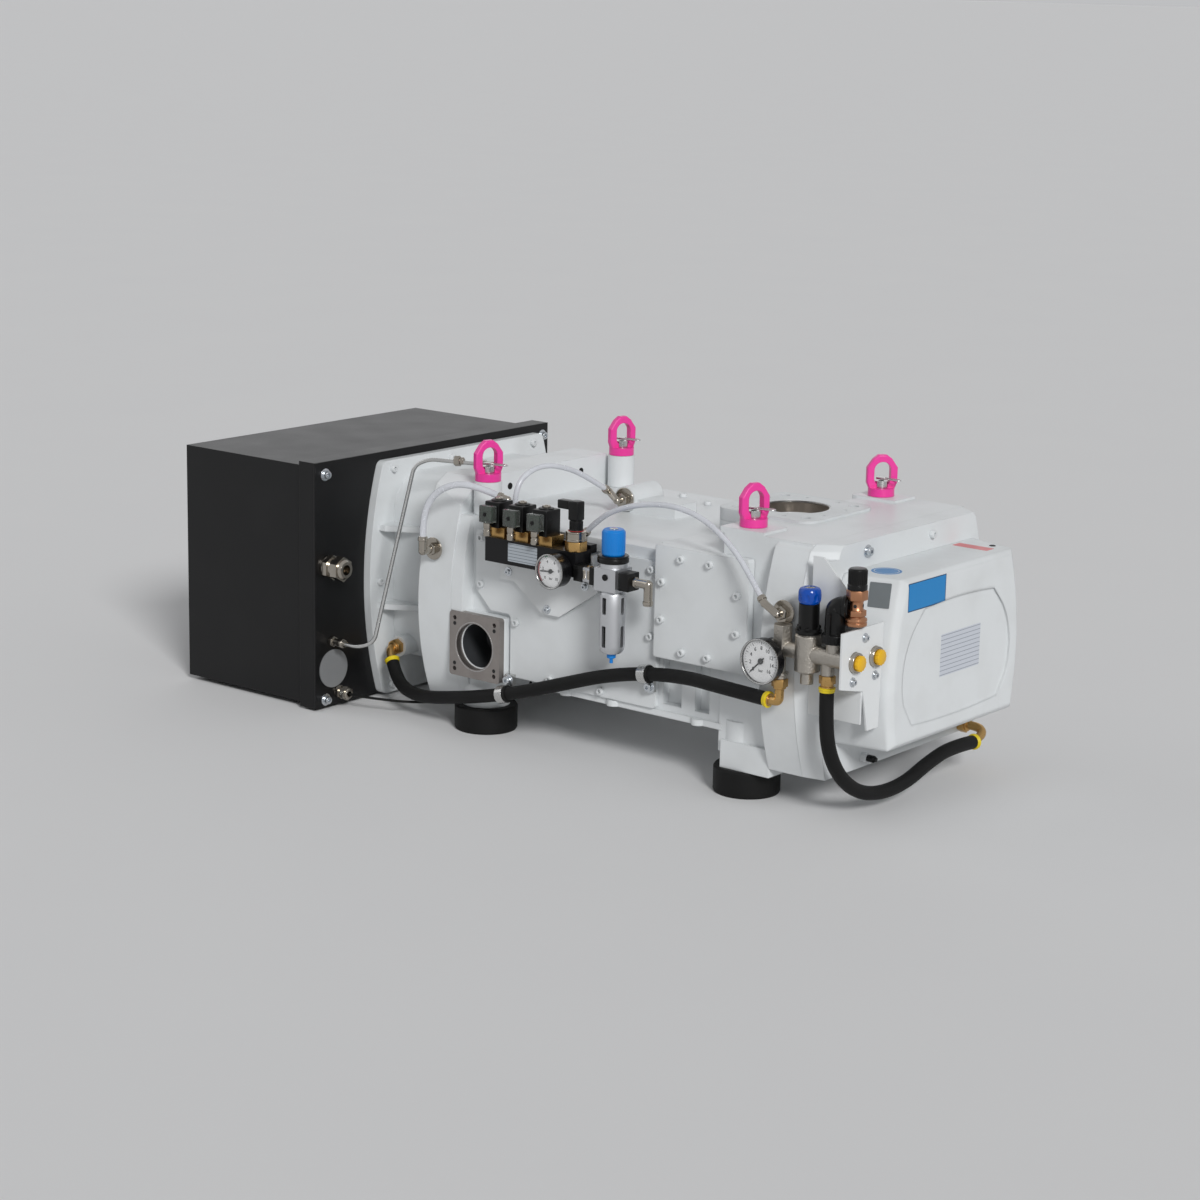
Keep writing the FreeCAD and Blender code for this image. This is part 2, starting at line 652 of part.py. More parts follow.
stator_x = "panel_x + 4"
stator_ring = cylinder("stator_ring", stator_x, drive_y, "axis_height", "stator_radius",
                       "stator_length", "x")
stator_hole = cylinder("stator_hole", f"{stator_x} - 1", drive_y, "axis_height", "stator_bore",
                       "stator_length + 2", "x")
node("motor_stator", cut("stator", stator_ring, stator_hole))
armature = cylinder("armature", stator_x, drive_y, "axis_height", "stator_bore - air_gap",
                    "stator_length", "x")
armature_hole = cylinder("armature_hole", f"{stator_x} - 1", drive_y, "axis_height",
                         "shaft_radius", "stator_length + 2", "x")
node("motor_rotor", cut("motor_rotor_cut", armature, armature_hole))

# Rotor housing: one casting from the motor end to the gear end
joint = start_body("joint_flange_casting", "seam_x")
joint_sketch = outline(joint, "YZ_Plane", [
    ("-flare_half_bottom", "flare_bottom"),
    ("flare_half_bottom", "flare_bottom", "flare_bulge", "bulge_height"),
    ("flare_shoulder_pump", "body_top"),
    ("-flare_shoulder_pump", "body_top", "-flare_bulge", "bulge_height")])
pad(joint, joint_sketch, "joint_flange")
trunk = block("trunk", ("seam_x", "block_start_x + 5"), ("-body_half", "body_half"),
              ("body_bottom", "body_top"))
inlet_block = block("inlet_block", ("block_start_x", "gear_end_x"),
                    ("-block_half", "block_half"), ("block_bottom", "inlet_top"))
flange_seat = start_body("flange_seat", "inlet_x")
gear_joint = start_body("gear_joint_casting", "gear_end_x - gear_flange")
flank_outline(gear_joint, "gear_flange_bottom", "gear_flange_half", "gear_flange_bulge",
              "gear_flange_half + 2", "inlet_top - 8", "gear_flange_half - 12", "inlet_top")
pad(gear_joint, gear_joint.Group[0], "gear_flange")
service_pad = block("service_pad", ("service_start_x", "block_start_x + 5"),
                    ("-body_half - side_cover_thickness / 2", "-body_half + 90"),
                    ("service_bottom", "service_top"))
pedestal_body = start_body("inlet_pedestal", "inlet_x")


def lobed_square(body, offset):
    """A square with round corners about the body's axis."""
    reach = "inlet_flange_half - inlet_lobe_radius"
    near = "inlet_flange_half - inlet_lobe_radius * (1 - sqrt(0.5))"
    half = "inlet_flange_half"
    return outline(body, "XY_Plane", [
        (f"-({reach})", f"-({half})"),
        (reach, f"-({half})", near, f"-({near})"),
        (half, f"-({reach})"),
        (half, reach, near, near),
        (reach, half),
        (f"-({reach})", half, f"-({near})", near),
        (f"-({half})", reach),
        (f"-({half})", f"-({reach})", f"-({near})", f"-({near})")], offset)


flange_low = "block_top - inlet_flange_thickness"
pad(pedestal_body, lobed_square(pedestal_body, "body_top - 5"), f"{flange_low} - body_top + 5")
foot_bosses = []
for i, (x, y) in enumerate((("foot_x_motor", "-foot_y"), ("foot_x_motor", "foot_y"),
                            ("foot_x_gear", "-foot_y"), ("foot_x_gear", "foot_y"))):
    foot_bosses.append(cylinder(f"foot_boss_{i}", x, y, "foot_height", "foot_boss_radius",
                                "body_bottom - foot_height + 10"))
steps = []
for i, side in enumerate((-1, 1)):
    near_y = "foot_y - foot_boss_radius" if side > 0 else "-block_half - 6"
    far_y = "block_half + 6" if side > 0 else "-foot_y + foot_boss_radius"
    steps.append(block(f"foot_step_{i}", ("foot_x_gear - 20", "foot_x_gear - 20 + foot_step_length"),
                       (near_y, far_y), ("foot_height", "foot_height + foot_step_height")))
exhaust_boss = block("exhaust_boss", ("exhaust_x - exhaust_half", "exhaust_x + exhaust_half"),
                     ("-body_half - exhaust_stand", "-body_half + 10"),
                     ("exhaust_z - exhaust_half", "exhaust_z + exhaust_half"))
far_port_boss = cylinder("far_port_boss", "far_port_x", "far_port_y", "far_port_z", "19", "70", "y")
far_port_foot = block("far_port_foot", ("far_port_x - 17", "far_port_x + 90"),
                      ("far_port_y + 6", "far_port_y + 60"), ("body_top - 5", "far_port_z"))
eye_pads = [block(f"eye_pad_{i}", ("eye_x_gear - 34", "eye_x_gear + 40"), (low, high),
                  ("inlet_top - 5", "block_top"))
            for i, (low, high) in enumerate((("-block_half", "-eye_y + 24"),
                                             ("eye_y - 24", "block_half")))]
pad(flange_seat, lobed_square(flange_seat, flange_low), "inlet_flange_thickness + 1")
ledge = block("lower_ledge", ("ledge_start_x", "block_start_x + 5"),
              ("-ledge_half", "ledge_half"), ("body_bottom - ledge_drop", "body_bottom + 2"))
lug_stations = ("ledge_start_x + 28", "ledge_start_x + 115", "ledge_start_x + 268")
lugs_low = [cylinder(f"ledge_lug_{i}", x, y, "body_bottom - ledge_drop", "lug_radius",
                     "ledge_drop + 2")
            for i, (x, y) in enumerate((x, y) for x in lug_stations
                                       for y in ("-ledge_half + 4", "ledge_half - 4"))]
cores = [block(f"core_{i}", ends, ("-body_half - 1", "-body_half + core_depth"),
               ("core_bottom", "core_top"))
         for i, ends in enumerate((("service_start_x + 6", "service_start_x + 39"),
                                   ("service_start_x + 63", "service_start_x + 88")))]
housing_solid = fuse("housing_solid", joint, ledge, *lugs_low, trunk, inlet_block, gear_joint, service_pad,
                     pedestal_body, exhaust_boss, far_port_boss, far_port_foot, *foot_bosses, *steps,
                     *eye_pads)
bore_start = "rotor_start_x - bore_run_out"
bores = [cylinder(f"rotor_bore_{i}", bore_start, y, "axis_height",
                  "rotor_radius + bore_clearance",
                  "rotor_end_x - rotor_start_x + 2 * bore_run_out", "x")
         for i, y in enumerate((f"-({drive_y})", drive_y))]
shaft_bores = [cylinder(f"shaft_bore_{i}", "seam_x - 1", y, "axis_height",
                        "shaft_radius + bore_clearance", "gear_end_x - seam_x + 2", "x")
               for i, y in enumerate((f"-({drive_y})", drive_y))]
gear_seats = [cylinder(f"gear_end_seat_{i}", "gear_end_x - bearing_width", y, "axis_height",
                       "bearing_radius", "bearing_width + 1", "x")
              for i, y in enumerate((f"-({drive_y})", drive_y))]
inlet_duct = cylinder("inlet_duct", "inlet_x", "0", "axis_height", "inlet_bore - duct_step",
                      "block_top - axis_height", "z")
exhaust_duct = cylinder("exhaust_duct", "exhaust_x", "-body_half - 50", "exhaust_z",
                        "exhaust_bore - duct_step", f"body_half + 50 - ({drive_y})", "y")
exhaust_room = block("exhaust_room", ("exhaust_x - exhaust_bore + 6", "rotor_start_x"),
                     (f"-({drive_y}) - 40", f"{drive_y} + 40"),
                     ("axis_height - rotor_radius", "axis_height + 20"))
joint_trim = block("joint_trim", ("seam_x - 100", "seam_x"),
                   ("-block_half - 60", "block_half + 60"), ("0", "body_top + 60"))
exhaust_seat = block("exhaust_seat", ("exhaust_x - exhaust_half", "exhaust_x + exhaust_half"),
                     ("-body_half - exhaust_stand - 30", "-body_half - exhaust_stand"),
                     ("exhaust_z - exhaust_half", "exhaust_z + exhaust_half"))
eye_holes = [cylinder(f"gear_eye_hole_{i}", "eye_x_gear", y, "block_top - 21",
                      "eye_screw_radius", "22")
             for i, y in enumerate(("-eye_y", "eye_y"))]
node("rotor_housing", cut("rotor_housing_cut", housing_solid, *bores, *shaft_bores, *gear_seats,
                          inlet_duct, exhaust_duct, exhaust_room, joint_trim, exhaust_seat,
                          flange_seat, *eye_holes, *cores))

# Inlet flange with its two circles of holes, and the strainer in the duct below it
inlet_ring = start_body("inlet_ring", "inlet_x")
pad(inlet_ring, lobed_square(inlet_ring, flange_low), "inlet_flange_thickness")
large = [(f"inlet_bolt_circle / 2 * cos({a})", f"inlet_bolt_circle / 2 * sin({a})",
          "inlet_bolt_radius") for a in (45, 135, 225, 315)]
small = [(f"inlet_stud_circle / 2 * cos({a})", f"inlet_stud_circle / 2 * sin({a})",
          "inlet_stud_radius") for a in [22.5 + 45 * k for k in range(8)]]
holes = circles(inlet_ring, "XY_Plane", [("0", "0", "inlet_bore")] + large + small, flange_low)
pocket(inlet_ring, holes, "inlet_flange_thickness")
node("inlet_flange", inlet_ring)
rim = value("inlet_bore - duct_step") - 0.2
strainer = turned([(0, 0), (rim, 0), (rim, 5), (rim - 5, 5), (rim - 5, 1.2), (0, 1.2)])
node("inlet_strainer", plain_shape("strainer", strainer, "inlet_x", "0", f"{flange_low} - 7"))

# Exhaust flange
exhaust = start_body("exhaust_ring", "exhaust_x", "-body_half - exhaust_stand", "exhaust_z")
exhaust_sketch = outline(exhaust, "XZ_Plane", [
    ("-exhaust_half", "-exhaust_half"), ("exhaust_half", "-exhaust_half"),
    ("exhaust_half", "exhaust_half"), ("-exhaust_half", "exhaust_half")])
pad(exhaust, exhaust_sketch, "exhaust_thickness")
round_edges(exhaust, "5", runs_along(Vector(0, 1, 0)))
exhaust_holes = [(f"exhaust_bolt_circle / 2 * cos({a})", f"exhaust_bolt_circle / 2 * sin({a})",
                  "exhaust_bolt_radius") for a in (45, 135, 225, 315)]
exhaust_circles = circles(exhaust, "XZ_Plane", [("0", "0", "exhaust_bore")] + exhaust_holes)
pocket(exhaust, exhaust_circles, "exhaust_thickness")
node("exhaust_flange", exhaust)

# Side covers of the water jacket, one on each flank
side_cover_corners = [
    ("side_cover_notch_x", "side_cover_bottom"), ("side_cover_end_x", "side_cover_bottom"),
    ("side_cover_end_x", "side_cover_top"), ("side_cover_start_x", "side_cover_top"),
    ("side_cover_start_x", "side_cover_notch_z + 30"),
    ("side_cover_start_x + 30", "side_cover_notch_z"),
    ("side_cover_notch_x", "side_cover_notch_z")]
front_cover = start_body("front_jacket_cover", "0", "-body_half")
pad(front_cover, outline(front_cover, "XZ_Plane", side_cover_corners), "side_cover_thickness")
round_edges(front_cover, "6", runs_along(Vector(0, 1, 0)))
node("front_side_cover", front_cover)
rear_cover = start_body("rear_jacket_cover", "0", "body_half + side_cover_thickness")
pad(rear_cover, outline(rear_cover, "XZ_Plane", side_cover_corners), "side_cover_thickness")
round_edges(rear_cover, "6", runs_along(Vector(0, 1, 0)))
node("rear_side_cover", rear_cover)
service_y = "-body_half - side_cover_thickness / 2"
service = start_body("service_cover", "0", service_y)
pad(service, outline(service, "XZ_Plane", [
    ("service_start_x", "service_bottom"), ("service_end_x", "service_bottom"),
    ("service_end_x", "service_top"), ("service_start_x", "service_top")]),
    "service_thickness")
round_edges(service, "4", runs_along(Vector(0, 1, 0)))
service_trim = block("service_trim", ("block_start_x - wall_clearance", "gear_end_x"),
                     ("-block_half - wall_clearance", "0"), ("0", "block_top"))
node("service_plate", cut("service_plate_cut", service, service_trim))

# End plate and gear cover
cover_x = "gear_end_x + end_plate_depth"
plate = start_body("end_plate_casting", "gear_end_x")
plate_back = flank_outline(plate, "gear_flange_bottom", "gear_flange_half",
                           "gear_flange_bulge", "gear_flange_half + 2", "inlet_top - 8",
                           "gear_flange_half - 12", "inlet_top")
plate_front = flank_outline(plate, "gear_flange_bottom", "plate_front_bottom",
                            "plate_front_bulge", "plate_front_top + 4", "inlet_top - 8",
                            "plate_front_top - 4", "inlet_top", "end_plate_depth")
loft(plate, plate_back, plate_front)
plate_bores = [cylinder(f"plate_bore_{i}", "gear_end_x - 1", y, "axis_height",
                        "shaft_radius + bore_clearance", "end_plate_depth + 2", "x")
               for i, y in enumerate((f"-({drive_y})", drive_y))]
bracket_back = "side_plate_y + sheet_thickness"
lugs = [block(f"bracket_lug_{i}", (f"{cover_x} - 13", f"{cover_x} - 0.1"),
              (f"{bracket_back} + wall_clearance", "-plate_front_bottom + 15"), (low, high))
        for i, (low, high) in enumerate((("152", "172"), ("338", "358")))]
node("end_plate", cut("end_plate_cut", fuse("end_plate_solid", plate, *lugs), *plate_bores))

cover = start_body("cover_casting", cover_x)
cover_mid = "(cover_bottom + cover_top) / 2 - 20"


def cover_outline(body, bottom_half, bulge, top_half, offset="0"):
    return outline(body, "YZ_Plane", [
        (f"-({bottom_half})", "cover_bottom"),
        (bottom_half, "cover_bottom", bulge, cover_mid),
        (top_half, "cover_top"),
        (f"-({top_half})", "cover_top", f"-({bulge})", cover_mid)], offset)


cover_back = cover_outline(cover, "cover_back_bottom", "cover_back_bulge", "cover_back_top")
cover_brim = cover_outline(cover, "cover_front_bottom + cover_edge / 2",
                           "cover_front_bulge + cover_edge / 2",
                           "cover_front_top + cover_edge / 2", "cover_depth - cover_edge")
cover_front = outline(cover, "YZ_Plane", [
    ("-cover_front_bottom + cover_edge", "cover_bottom + cover_edge"),
    ("cover_front_bottom - cover_edge", "cover_bottom + cover_edge",
     "cover_front_bulge - cover_edge", cover_mid),
    ("cover_front_top - cover_edge", "cover_top - cover_edge"),
    ("-cover_front_top + cover_edge", "cover_top - cover_edge",
     "-cover_front_bulge + cover_edge", cover_mid)], "cover_depth")
cover_loft = loft(cover, cover_back, cover_brim)
cover_loft.Sections = [cover_brim, cover_front]
recess = outline(cover, "YZ_Plane", [
    ("-cover_front_bottom + 45", "cover_bottom + 28", "0", "cover_bottom + 24"),
    ("cover_front_bottom - 45", "cover_bottom + 28"),
    ("cover_front_bulge - 32", "cover_bottom + 60", "cover_front_bulge - 26", cover_mid),
    ("cover_front_top - 26", "cover_top - 72"),
    ("cover_front_top - 50", "cover_top - 48", "0", "cover_top - 44"),
    ("-cover_front_top + 50", "cover_top - 48"),
    ("-cover_front_top + 26", "cover_top - 72", "-cover_front_bulge + 26", cover_mid),
    ("-cover_front_bulge + 32", "cover_bottom + 60")], "cover_depth - cover_recess")
pocket(cover, recess, "cover_recess + 1")
gear_room = outline(cover, "YZ_Plane", [
    ("-120", "cover_bottom + 18"), ("120", "cover_bottom + 18"),
    ("120", "cover_top - 18"), ("-120", "cover_top - 18")])
pocket(cover, gear_room, "cover_depth - 22")
node("end_cover", cover)

# Shaft bearings, pressed between shaft and seat
ring_width = value("bearing_width") - 0.6
bearing = Part.makeCylinder(value("bearing_radius"), ring_width)
bearing = bearing.cut(Part.makeCylinder(value("shaft_radius") + 0.05, ring_width))
half_distance = value(drive_y)
shaft_z = value("axis_height")
bearings = [aim(bearing.copy(), (x + 0.3, y, shaft_z), "x")
            for x in (value("seam_x - bearing_width"), value("gear_end_x - bearing_width"))
            for y in (-half_distance, half_distance)]
node("shaft_bearings", plain_shape("bearings", Part.makeCompound(bearings)))


def screw_section(hand):
    """One transverse section of a single-thread rotor, as (radius, angle) points.
    Its flanks are the path that the mating rotor's tip edge sweeps through the thread."""
    tip = value("rotor_radius")
    distance = value("rotor_distance")
    root = distance - tip - value("rotor_root_gap")
    gap = math.radians(value("rotor_flank_gap"))
    last = math.acos(distance / (2 * tip))
    flank = []
    for step in range(1, 3):
        roll = last * step / 3
        across = distance * math.cos(roll) - tip * math.cos(2 * roll)
        up = distance * math.sin(roll) - tip * math.sin(2 * roll)
        flank.append((math.hypot(across, up), abs(math.atan2(up, across))))
    rising = [(root, gap)] + [(radius, gap + angle) for radius, angle in flank]
    tips = [(tip, gap + (math.pi - 2 * gap) * k / 6) for k in range(7)]
    falling = [(radius, math.pi - angle) for radius, angle in reversed(rising)]
    roots = [(root, math.pi - gap + (math.pi + 2 * gap) * k / 6) for k in range(1, 6)]
    return [(radius, hand * angle) for radius, angle in rising + tips + falling + roots]


def screw_rotor(hand):
    """A rotor along X with flat facets between turned copies of its section."""
    section = screw_section(hand)
    turns = value("rotor_turns")
    length = value("rotor_end_x - rotor_start_x")
    slices = int(round(turns * 12))
    rings = []
    for k in range(slices + 1):
        turn = hand * 2 * math.pi * turns * k / slices
        rings.append([Vector(length * k / slices, radius * math.cos(angle + turn),
                             radius * math.sin(angle + turn)) for radius, angle in section])
    faces = [Part.Face(Part.makePolygon(ring + ring[:1])) for ring in (rings[0], rings[-1])]
    count = len(section)
    for ring, following in zip(rings, rings[1:]):
        for k in range(count):
            a, b = ring[k], ring[(k + 1) % count]
            c, d = following[k], following[(k + 1) % count]
            for corners in ((a, b, d), (a, d, c)):
                faces.append(Part.Face(Part.makePolygon(list(corners) + [corners[0]])))
    shell = Part.makeShell(faces)
    shell.sewShape()
    solid = Part.makeSolid(shell)
    if solid.Volume < 0:
        solid.reverse()
    return solid


shaft_end = value("gear_x + gear_width + 12")
rotor_start = value("rotor_start_x")
rotor_end = value("rotor_end_x")
shaft_ring = [Vector(0, value("shaft_radius") * math.cos(math.radians(15 * k)),
                     value("shaft_radius") * math.sin(math.radians(15 * k))) for k in range(24)]
shaft_face = Part.Face(Part.makePolygon(shaft_ring + shaft_ring[:1]))
for name, side, hand, first in (
        ("drive_rotor", 1, 1, value("panel_x") - 40),
        ("driven_rotor", -1, -1, value("seam_x - bearing_width"))):
    screw = screw_rotor(hand)
    screw.translate(Vector(rotor_start, 0, 0))
    shaft = shaft_face.extrude(Vector(rotor_start - first + 1, 0, 0))
    shaft.translate(Vector(first, 0, 0))
    stub = shaft_face.extrude(Vector(shaft_end - rotor_end + 1, 0, 0))
    stub.translate(Vector(rotor_end - 1, 0, 0))
    whole = screw.multiFuse([shaft, stub])
    node(name, plain_shape(name, whole, "0", f"{side} * rotor_distance / 2", "axis_height"))


def timing_gear(phase):
    """A spur gear along X whose teeth share the rotors' pitch circle."""
    teeth = int(round(value("gear_teeth")))
    pitch_radius = value("rotor_distance") / 2
    module = 2 * pitch_radius / teeth
    play = value("gear_backlash") / pitch_radius / 4
    heights = ((pitch_radius - 1.2 * module, 0.37), (pitch_radius, 0.25),
               (pitch_radius + 0.9 * module, 0.13))
    points = []
    for tooth in range(teeth):
        centre = phase + 2 * math.pi * tooth / teeth
        half = [(radius, 2 * math.pi / teeth * share - play) for radius, share in heights]
        for radius, angle in half:
            points.append((radius, centre - angle))
        for radius, angle in reversed(half):
            points.append((radius, centre + angle))
    ring = [Vector(0, radius * math.cos(a), radius * math.sin(a)) for radius, a in points]
    blank = Part.Face(Part.makePolygon(ring + ring[:1])).extrude(
        Vector(value("gear_width"), 0, 0))
    return blank.cut(Part.makeCylinder(value("shaft_radius"), 100, Vector(-10, 0, 0), along_x))


for name, side, phase in (("drive_gear", 1, 0),
                          ("driven_gear", -1, math.pi / value("gear_teeth"))):
    node(name, plain_shape(name, timing_gear(phase), "gear_x", f"{side} * rotor_distance / 2",
                           "axis_height"))

# Rubber feet
feet = []
for x in ("foot_x_motor", "foot_x_gear"):
    for y in ("-foot_y", "foot_y"):
        radius = value("foot_radius")
        height = value("foot_height")
        foot = turned([(0, 0), (radius - 1.5, 0), (radius, 3), (radius, height - 3),
                       (radius - 2, height), (0, height)])
        feet.append(aim(foot, (value(x), value(y), 0), "z"))
node("rubber_feet", plain_shape("feet", Part.makeCompound(feet)))

# Lifting eyes: each swivels about its screw
eye_places = (("eye_x_motor", "-eye_y"), ("eye_x_motor", "eye_y"),
              ("eye_x_gear", "-eye_y"), ("eye_x_gear", "eye_y"))
head_seat = value("eye_collar_height") + 1


def eye_ring(body):
    """The faceted ring with its oval hole, standing on the body's origin."""
    half = "eye_width / 2"
    pad_feature = pad(body, outline(body, "YZ_Plane", [
        ("-eye_collar_radius + 3", "4"), ("eye_collar_radius - 3", "4"),
        (half, "20"), (half, "42"), ("eye_width / 2 - 9", "eye_height - 6"),
        ("6", "eye_height"), ("-6", "eye_height"),
        ("-eye_width / 2 + 9", "eye_height - 6"), (f"-({half})", "42"), (f"-({half})", "20")]),
        "eye_thickness")
    pad_feature.Midplane = True
    round_edges(body, "eye_edge", lambda edge: not runs_along(along_x)(edge))
    hole = outline(body, "YZ_Plane", [
        ("-eye_hole_radius", "27", "0", "27 - eye_hole_radius"), ("eye_hole_radius", "27"),
        ("eye_hole_radius", "38", "0", "38 + eye_hole_radius"), ("-eye_hole_radius", "38")])
    cut_through = body.newObject("PartDesign::Pocket", body.Name + "_hole")
    cut_through.Profile = hole
    cut_through.Midplane = True
    bind(cut_through, "Length", "eye_thickness + 10")


for number, (x, y) in enumerate(eye_places, 1):
    ring = start_body(f"eye_ring_{number}", x, y, "block_top")
    twist = value("eye_turn_far" if number == len(eye_places) else "eye_turn")
    ring.Placement = FreeCAD.Placement(ring.Placement.Base, Rotation(along_z, -twist))
    eye_ring(ring)
    collar = cylinder(f"eye_collar_{number}", x, y, "block_top + wall_clearance",
                      "eye_collar_radius", "eye_collar_height - wall_clearance")
    well = cylinder(f"eye_well_{number}", x, y, "block_top + eye_collar_height + 0.7",
                    "eye_head_radius + wall_clearance", "14")
    clearance = cylinder(f"eye_clearance_{number}", x, y, "block_top - 1",
                         "eye_screw_radius + wall_clearance", "eye_collar_height + 4")
    eye = cut(f"eye_cut_{number}", fuse(f"eye_solid_{number}", ring, collar), well, clearance)
    node(f"lifting_eye_{number}", eye)
eye_screws = []
for x, y in eye_places:
    screw = turned([(0, -20), (value("eye_screw_radius"), -20), (value("eye_screw_radius"), head_seat),
                    (value("eye_head_radius"), head_seat), (value("eye_head_radius"), head_seat + 9),
                    (0, head_seat + 9)])
    screw = screw.cut(hexagon(8, 6, head_seat + 4))
    eye_screws.append(aim(screw, (value(x), value(y), value("block_top")), "z"))
node("eye_screws", plain_shape("eye_bolts", Part.makeCompound(eye_screws)))

# Purge gas panel: bracket, manifold, three solenoid valves and a pressure switch
plate_y = "purge_plate_y"
purge = start_body("purge_plate", "0", f"{plate_y} + purge_plate_thickness")
pad(purge, outline(purge, "XZ_Plane", [
    ("-30", "248"), ("-4", "248"), ("50", "208"), ("83", "208"), ("154", "255"),
    ("154", "311"), ("-30", "311")]), "purge_plate_thickness")
purge_tab = block("purge_tab", ("154 - purge_plate_thickness", "154"),
                  (f"{plate_y} - 12", plate_y), ("266", "311"))
spacers = [cylinder(f"purge_spacer_{i}", x, f"{plate_y} + purge_plate_thickness", z, "7",
                    "-body_half - side_cover_thickness - purge_plate_y - purge_plate_thickness",
                    "y")
           for i, (x, z) in enumerate((("-15", "261"), ("128", "261"), ("62", "218")))]
node("purge_bracket", fuse("purge_bracket_solid", purge, purge_tab, *spacers))
outlet_top = "manifold_bottom + outlet_rise + outlet_height"
manifold_end = "manifold_x + manifold_length"
manifold_back = "manifold_front_y + manifold_depth"
node("valve_manifold", fuse(
    "manifold",
    block("manifold_bar", ("manifold_x", manifold_end), ("manifold_front_y", manifold_back),
          ("manifold_bottom", "manifold_bottom + manifold_height")),
    block("outlet_block", ("manifold_x - 2", manifold_end), (manifold_back, f"{plate_y} + 9"),
          ("manifold_bottom + outlet_rise", outlet_top))))
manifold_top = "manifold_bottom + manifold_height"
valve_bodies = []
coils = []
plugs = []
for number in range(3):
    x = value(f"valve_first_x + {number} * valve_pitch")
    base_z = value(manifold_top)
    body_height = value(f"coil_bottom - ({manifold_top})")
    seat = Part.makeBox(30, 27, body_height, Vector(-15, -15, 0))
    valve_bodies.append(aim(seat, (x, value("coil_y"), base_z), "z"))
    width, depth, height = value("coil_width"), value("coil_depth"), value("coil_height")
    coil = Part.makeBox(width, depth, height, Vector(-width / 2, -depth / 2, 0))
    coil = coil.fuse(Part.makeCylinder(7, 4, Vector(0, 0, height)))
    coils.append(aim(coil, (x, value("coil_y"), value("coil_bottom")), "z"))
    plug_depth = value("plug_depth")
    plug = Part.makeBox(24, plug_depth, 26, Vector(-12, -plug_depth, 8))
    plug = plug.fuse(Part.makeCylinder(6.5, 14, Vector(0, -plug_depth / 2, -6)))
    plugs.append(aim(plug, (x, value("coil_y - coil_depth / 2"), value("coil_bottom")), "z"))
node("valve_bodies", plain_shape("valves", Part.makeCompound(valve_bodies)))
node("solenoid_coils", plain_shape("coils", Part.makeCompound(coils)))
node("coil_plugs", plain_shape("plugs", Part.makeCompound(plugs)))
switch = turned([(0, 0), (12, 0), (12, 10), (13, 10), (13, 26), (9, 27), (9, 30), (0, 30)])
switch = switch.fuse(hexagon(28, 14))
angle_plug = Part.makeCylinder(9.5, 42, Vector(0, 0, 30))
angle_plug = angle_plug.fuse(Part.makeBox(30, 14, 13, Vector(-30, -7, 58)))
node("pressure_switch", plain_shape("switch", Part.makeCompound([switch, angle_plug]),
                                    "switch_x", "switch_y", manifold_top))


def gauge_case(radius, depth):
    """A pressure gauge's case, standing on its back, open at the dial."""
    case = turned([(0, 0), (radius - 3, 0), (radius - 1, 2), (radius - 1, depth - 5),
                   (radius, depth - 5), (radius, depth), (radius - 2, depth),
                   (radius - 2, depth - 5), (0, depth - 5)])
    return case


def needle(radius, angle):
    """A pointer on its boss, standing on the dial, turned anticlockwise from upright."""
    hub = Part.makeCylinder(radius * 0.13, 1.6)
    bar = Part.makeBox(radius * 0.06, radius * 0.95, 0.8,
                       Vector(-radius * 0.03, -radius * 0.22, 0.4))
    bar.rotate(Vector(), along_z, angle)
    return hub.fuse(bar)


gauge_y = "manifold_front_y - 24"
purge_case = aim(gauge_case(value("purge_gauge_radius"), 24), (0, 0, 0), "-y")
node("purge_gauge", plain_shape("purge_gauge_case", purge_case, "purge_gauge_x",
                                "manifold_front_y", "purge_gauge_z"))
purge_pointer = needle(value("purge_gauge_radius"), 95)
node("purge_needle", plain_shape("purge_pointer", aim(purge_pointer, (0, 0, 0), "-y"),
                                 "purge_gauge_x", f"{gauge_y} + 4.6", "purge_gauge_z"))

# Filter regulator
filter_top = "filter_bottom + filter_height"
ring_top = f"{filter_top} + filter_ring_height"
filter_head = block("filter_head", ("filter_x - filter_half", "filter_x + filter_half"),
                    ("filter_y - filter_half", "filter_y + filter_half"),
                    ("filter_bottom", filter_top))
filter_neck = cylinder("filter_neck", "filter_x", "filter_y", filter_top, "filter_half + 1.5",
                       "filter_ring_height")
side_x = "filter_x + filter_half + 18"
side_z = "filter_bottom + filter_height / 2"
filter_side = block("filter_side", ("filter_x + filter_half", side_x),
                    ("filter_y - 12", "filter_y + 12"), (f"{side_z} - 12", f"{side_z} + 12"))
filter_link = block("filter_link", (manifold_end, "filter_x - filter_half"),
                    ("filter_y - 10", "filter_y + 10"), (f"{side_z} - 10", f"{side_z} + 10"))
node("filter_body", fuse("filter", filter_head, filter_neck, filter_side, filter_link))
bowl_radius, bowl_length = value("bowl_radius"), value("bowl_length")
bowl = turned([(0, 0), (bowl_radius - 5, 0), (bowl_radius - 1.2, 4), (bowl_radius, 12),
               (bowl_radius, bowl_length - 4), (bowl_radius - 3, bowl_length), (0, bowl_length)])
bowl_low = "filter_bottom - bowl_length"
node("filter_bowl", plain_shape("bowl", bowl, "filter_x", "filter_y", bowl_low))
knob_radius, knob_length = value("regulator_radius"), value("regulator_length")
knob = turned([(0, 0), (knob_radius - 1, 0), (knob_radius, 2), (knob_radius, knob_length - 3),
               (knob_radius - 2.5, knob_length), (0, knob_length)])
node("regulator_knob", plain_shape("regulator_cap", knob, "filter_x", "filter_y",
                                   f"{ring_top} + wall_clearance"))
drain_radius, drain_length = value("drain_radius"), value("drain_length")
drain = turned([(0, 0), (drain_radius - 4, 0), (drain_radius - 4, 6), (drain_radius, 8),
                (drain_radius, drain_length), (0, drain_length)])
node("drain_knob", plain_shape("drain_cap", drain, "filter_x", "filter_y",
                               f"{bowl_low} - drain_length - wall_clearance"))

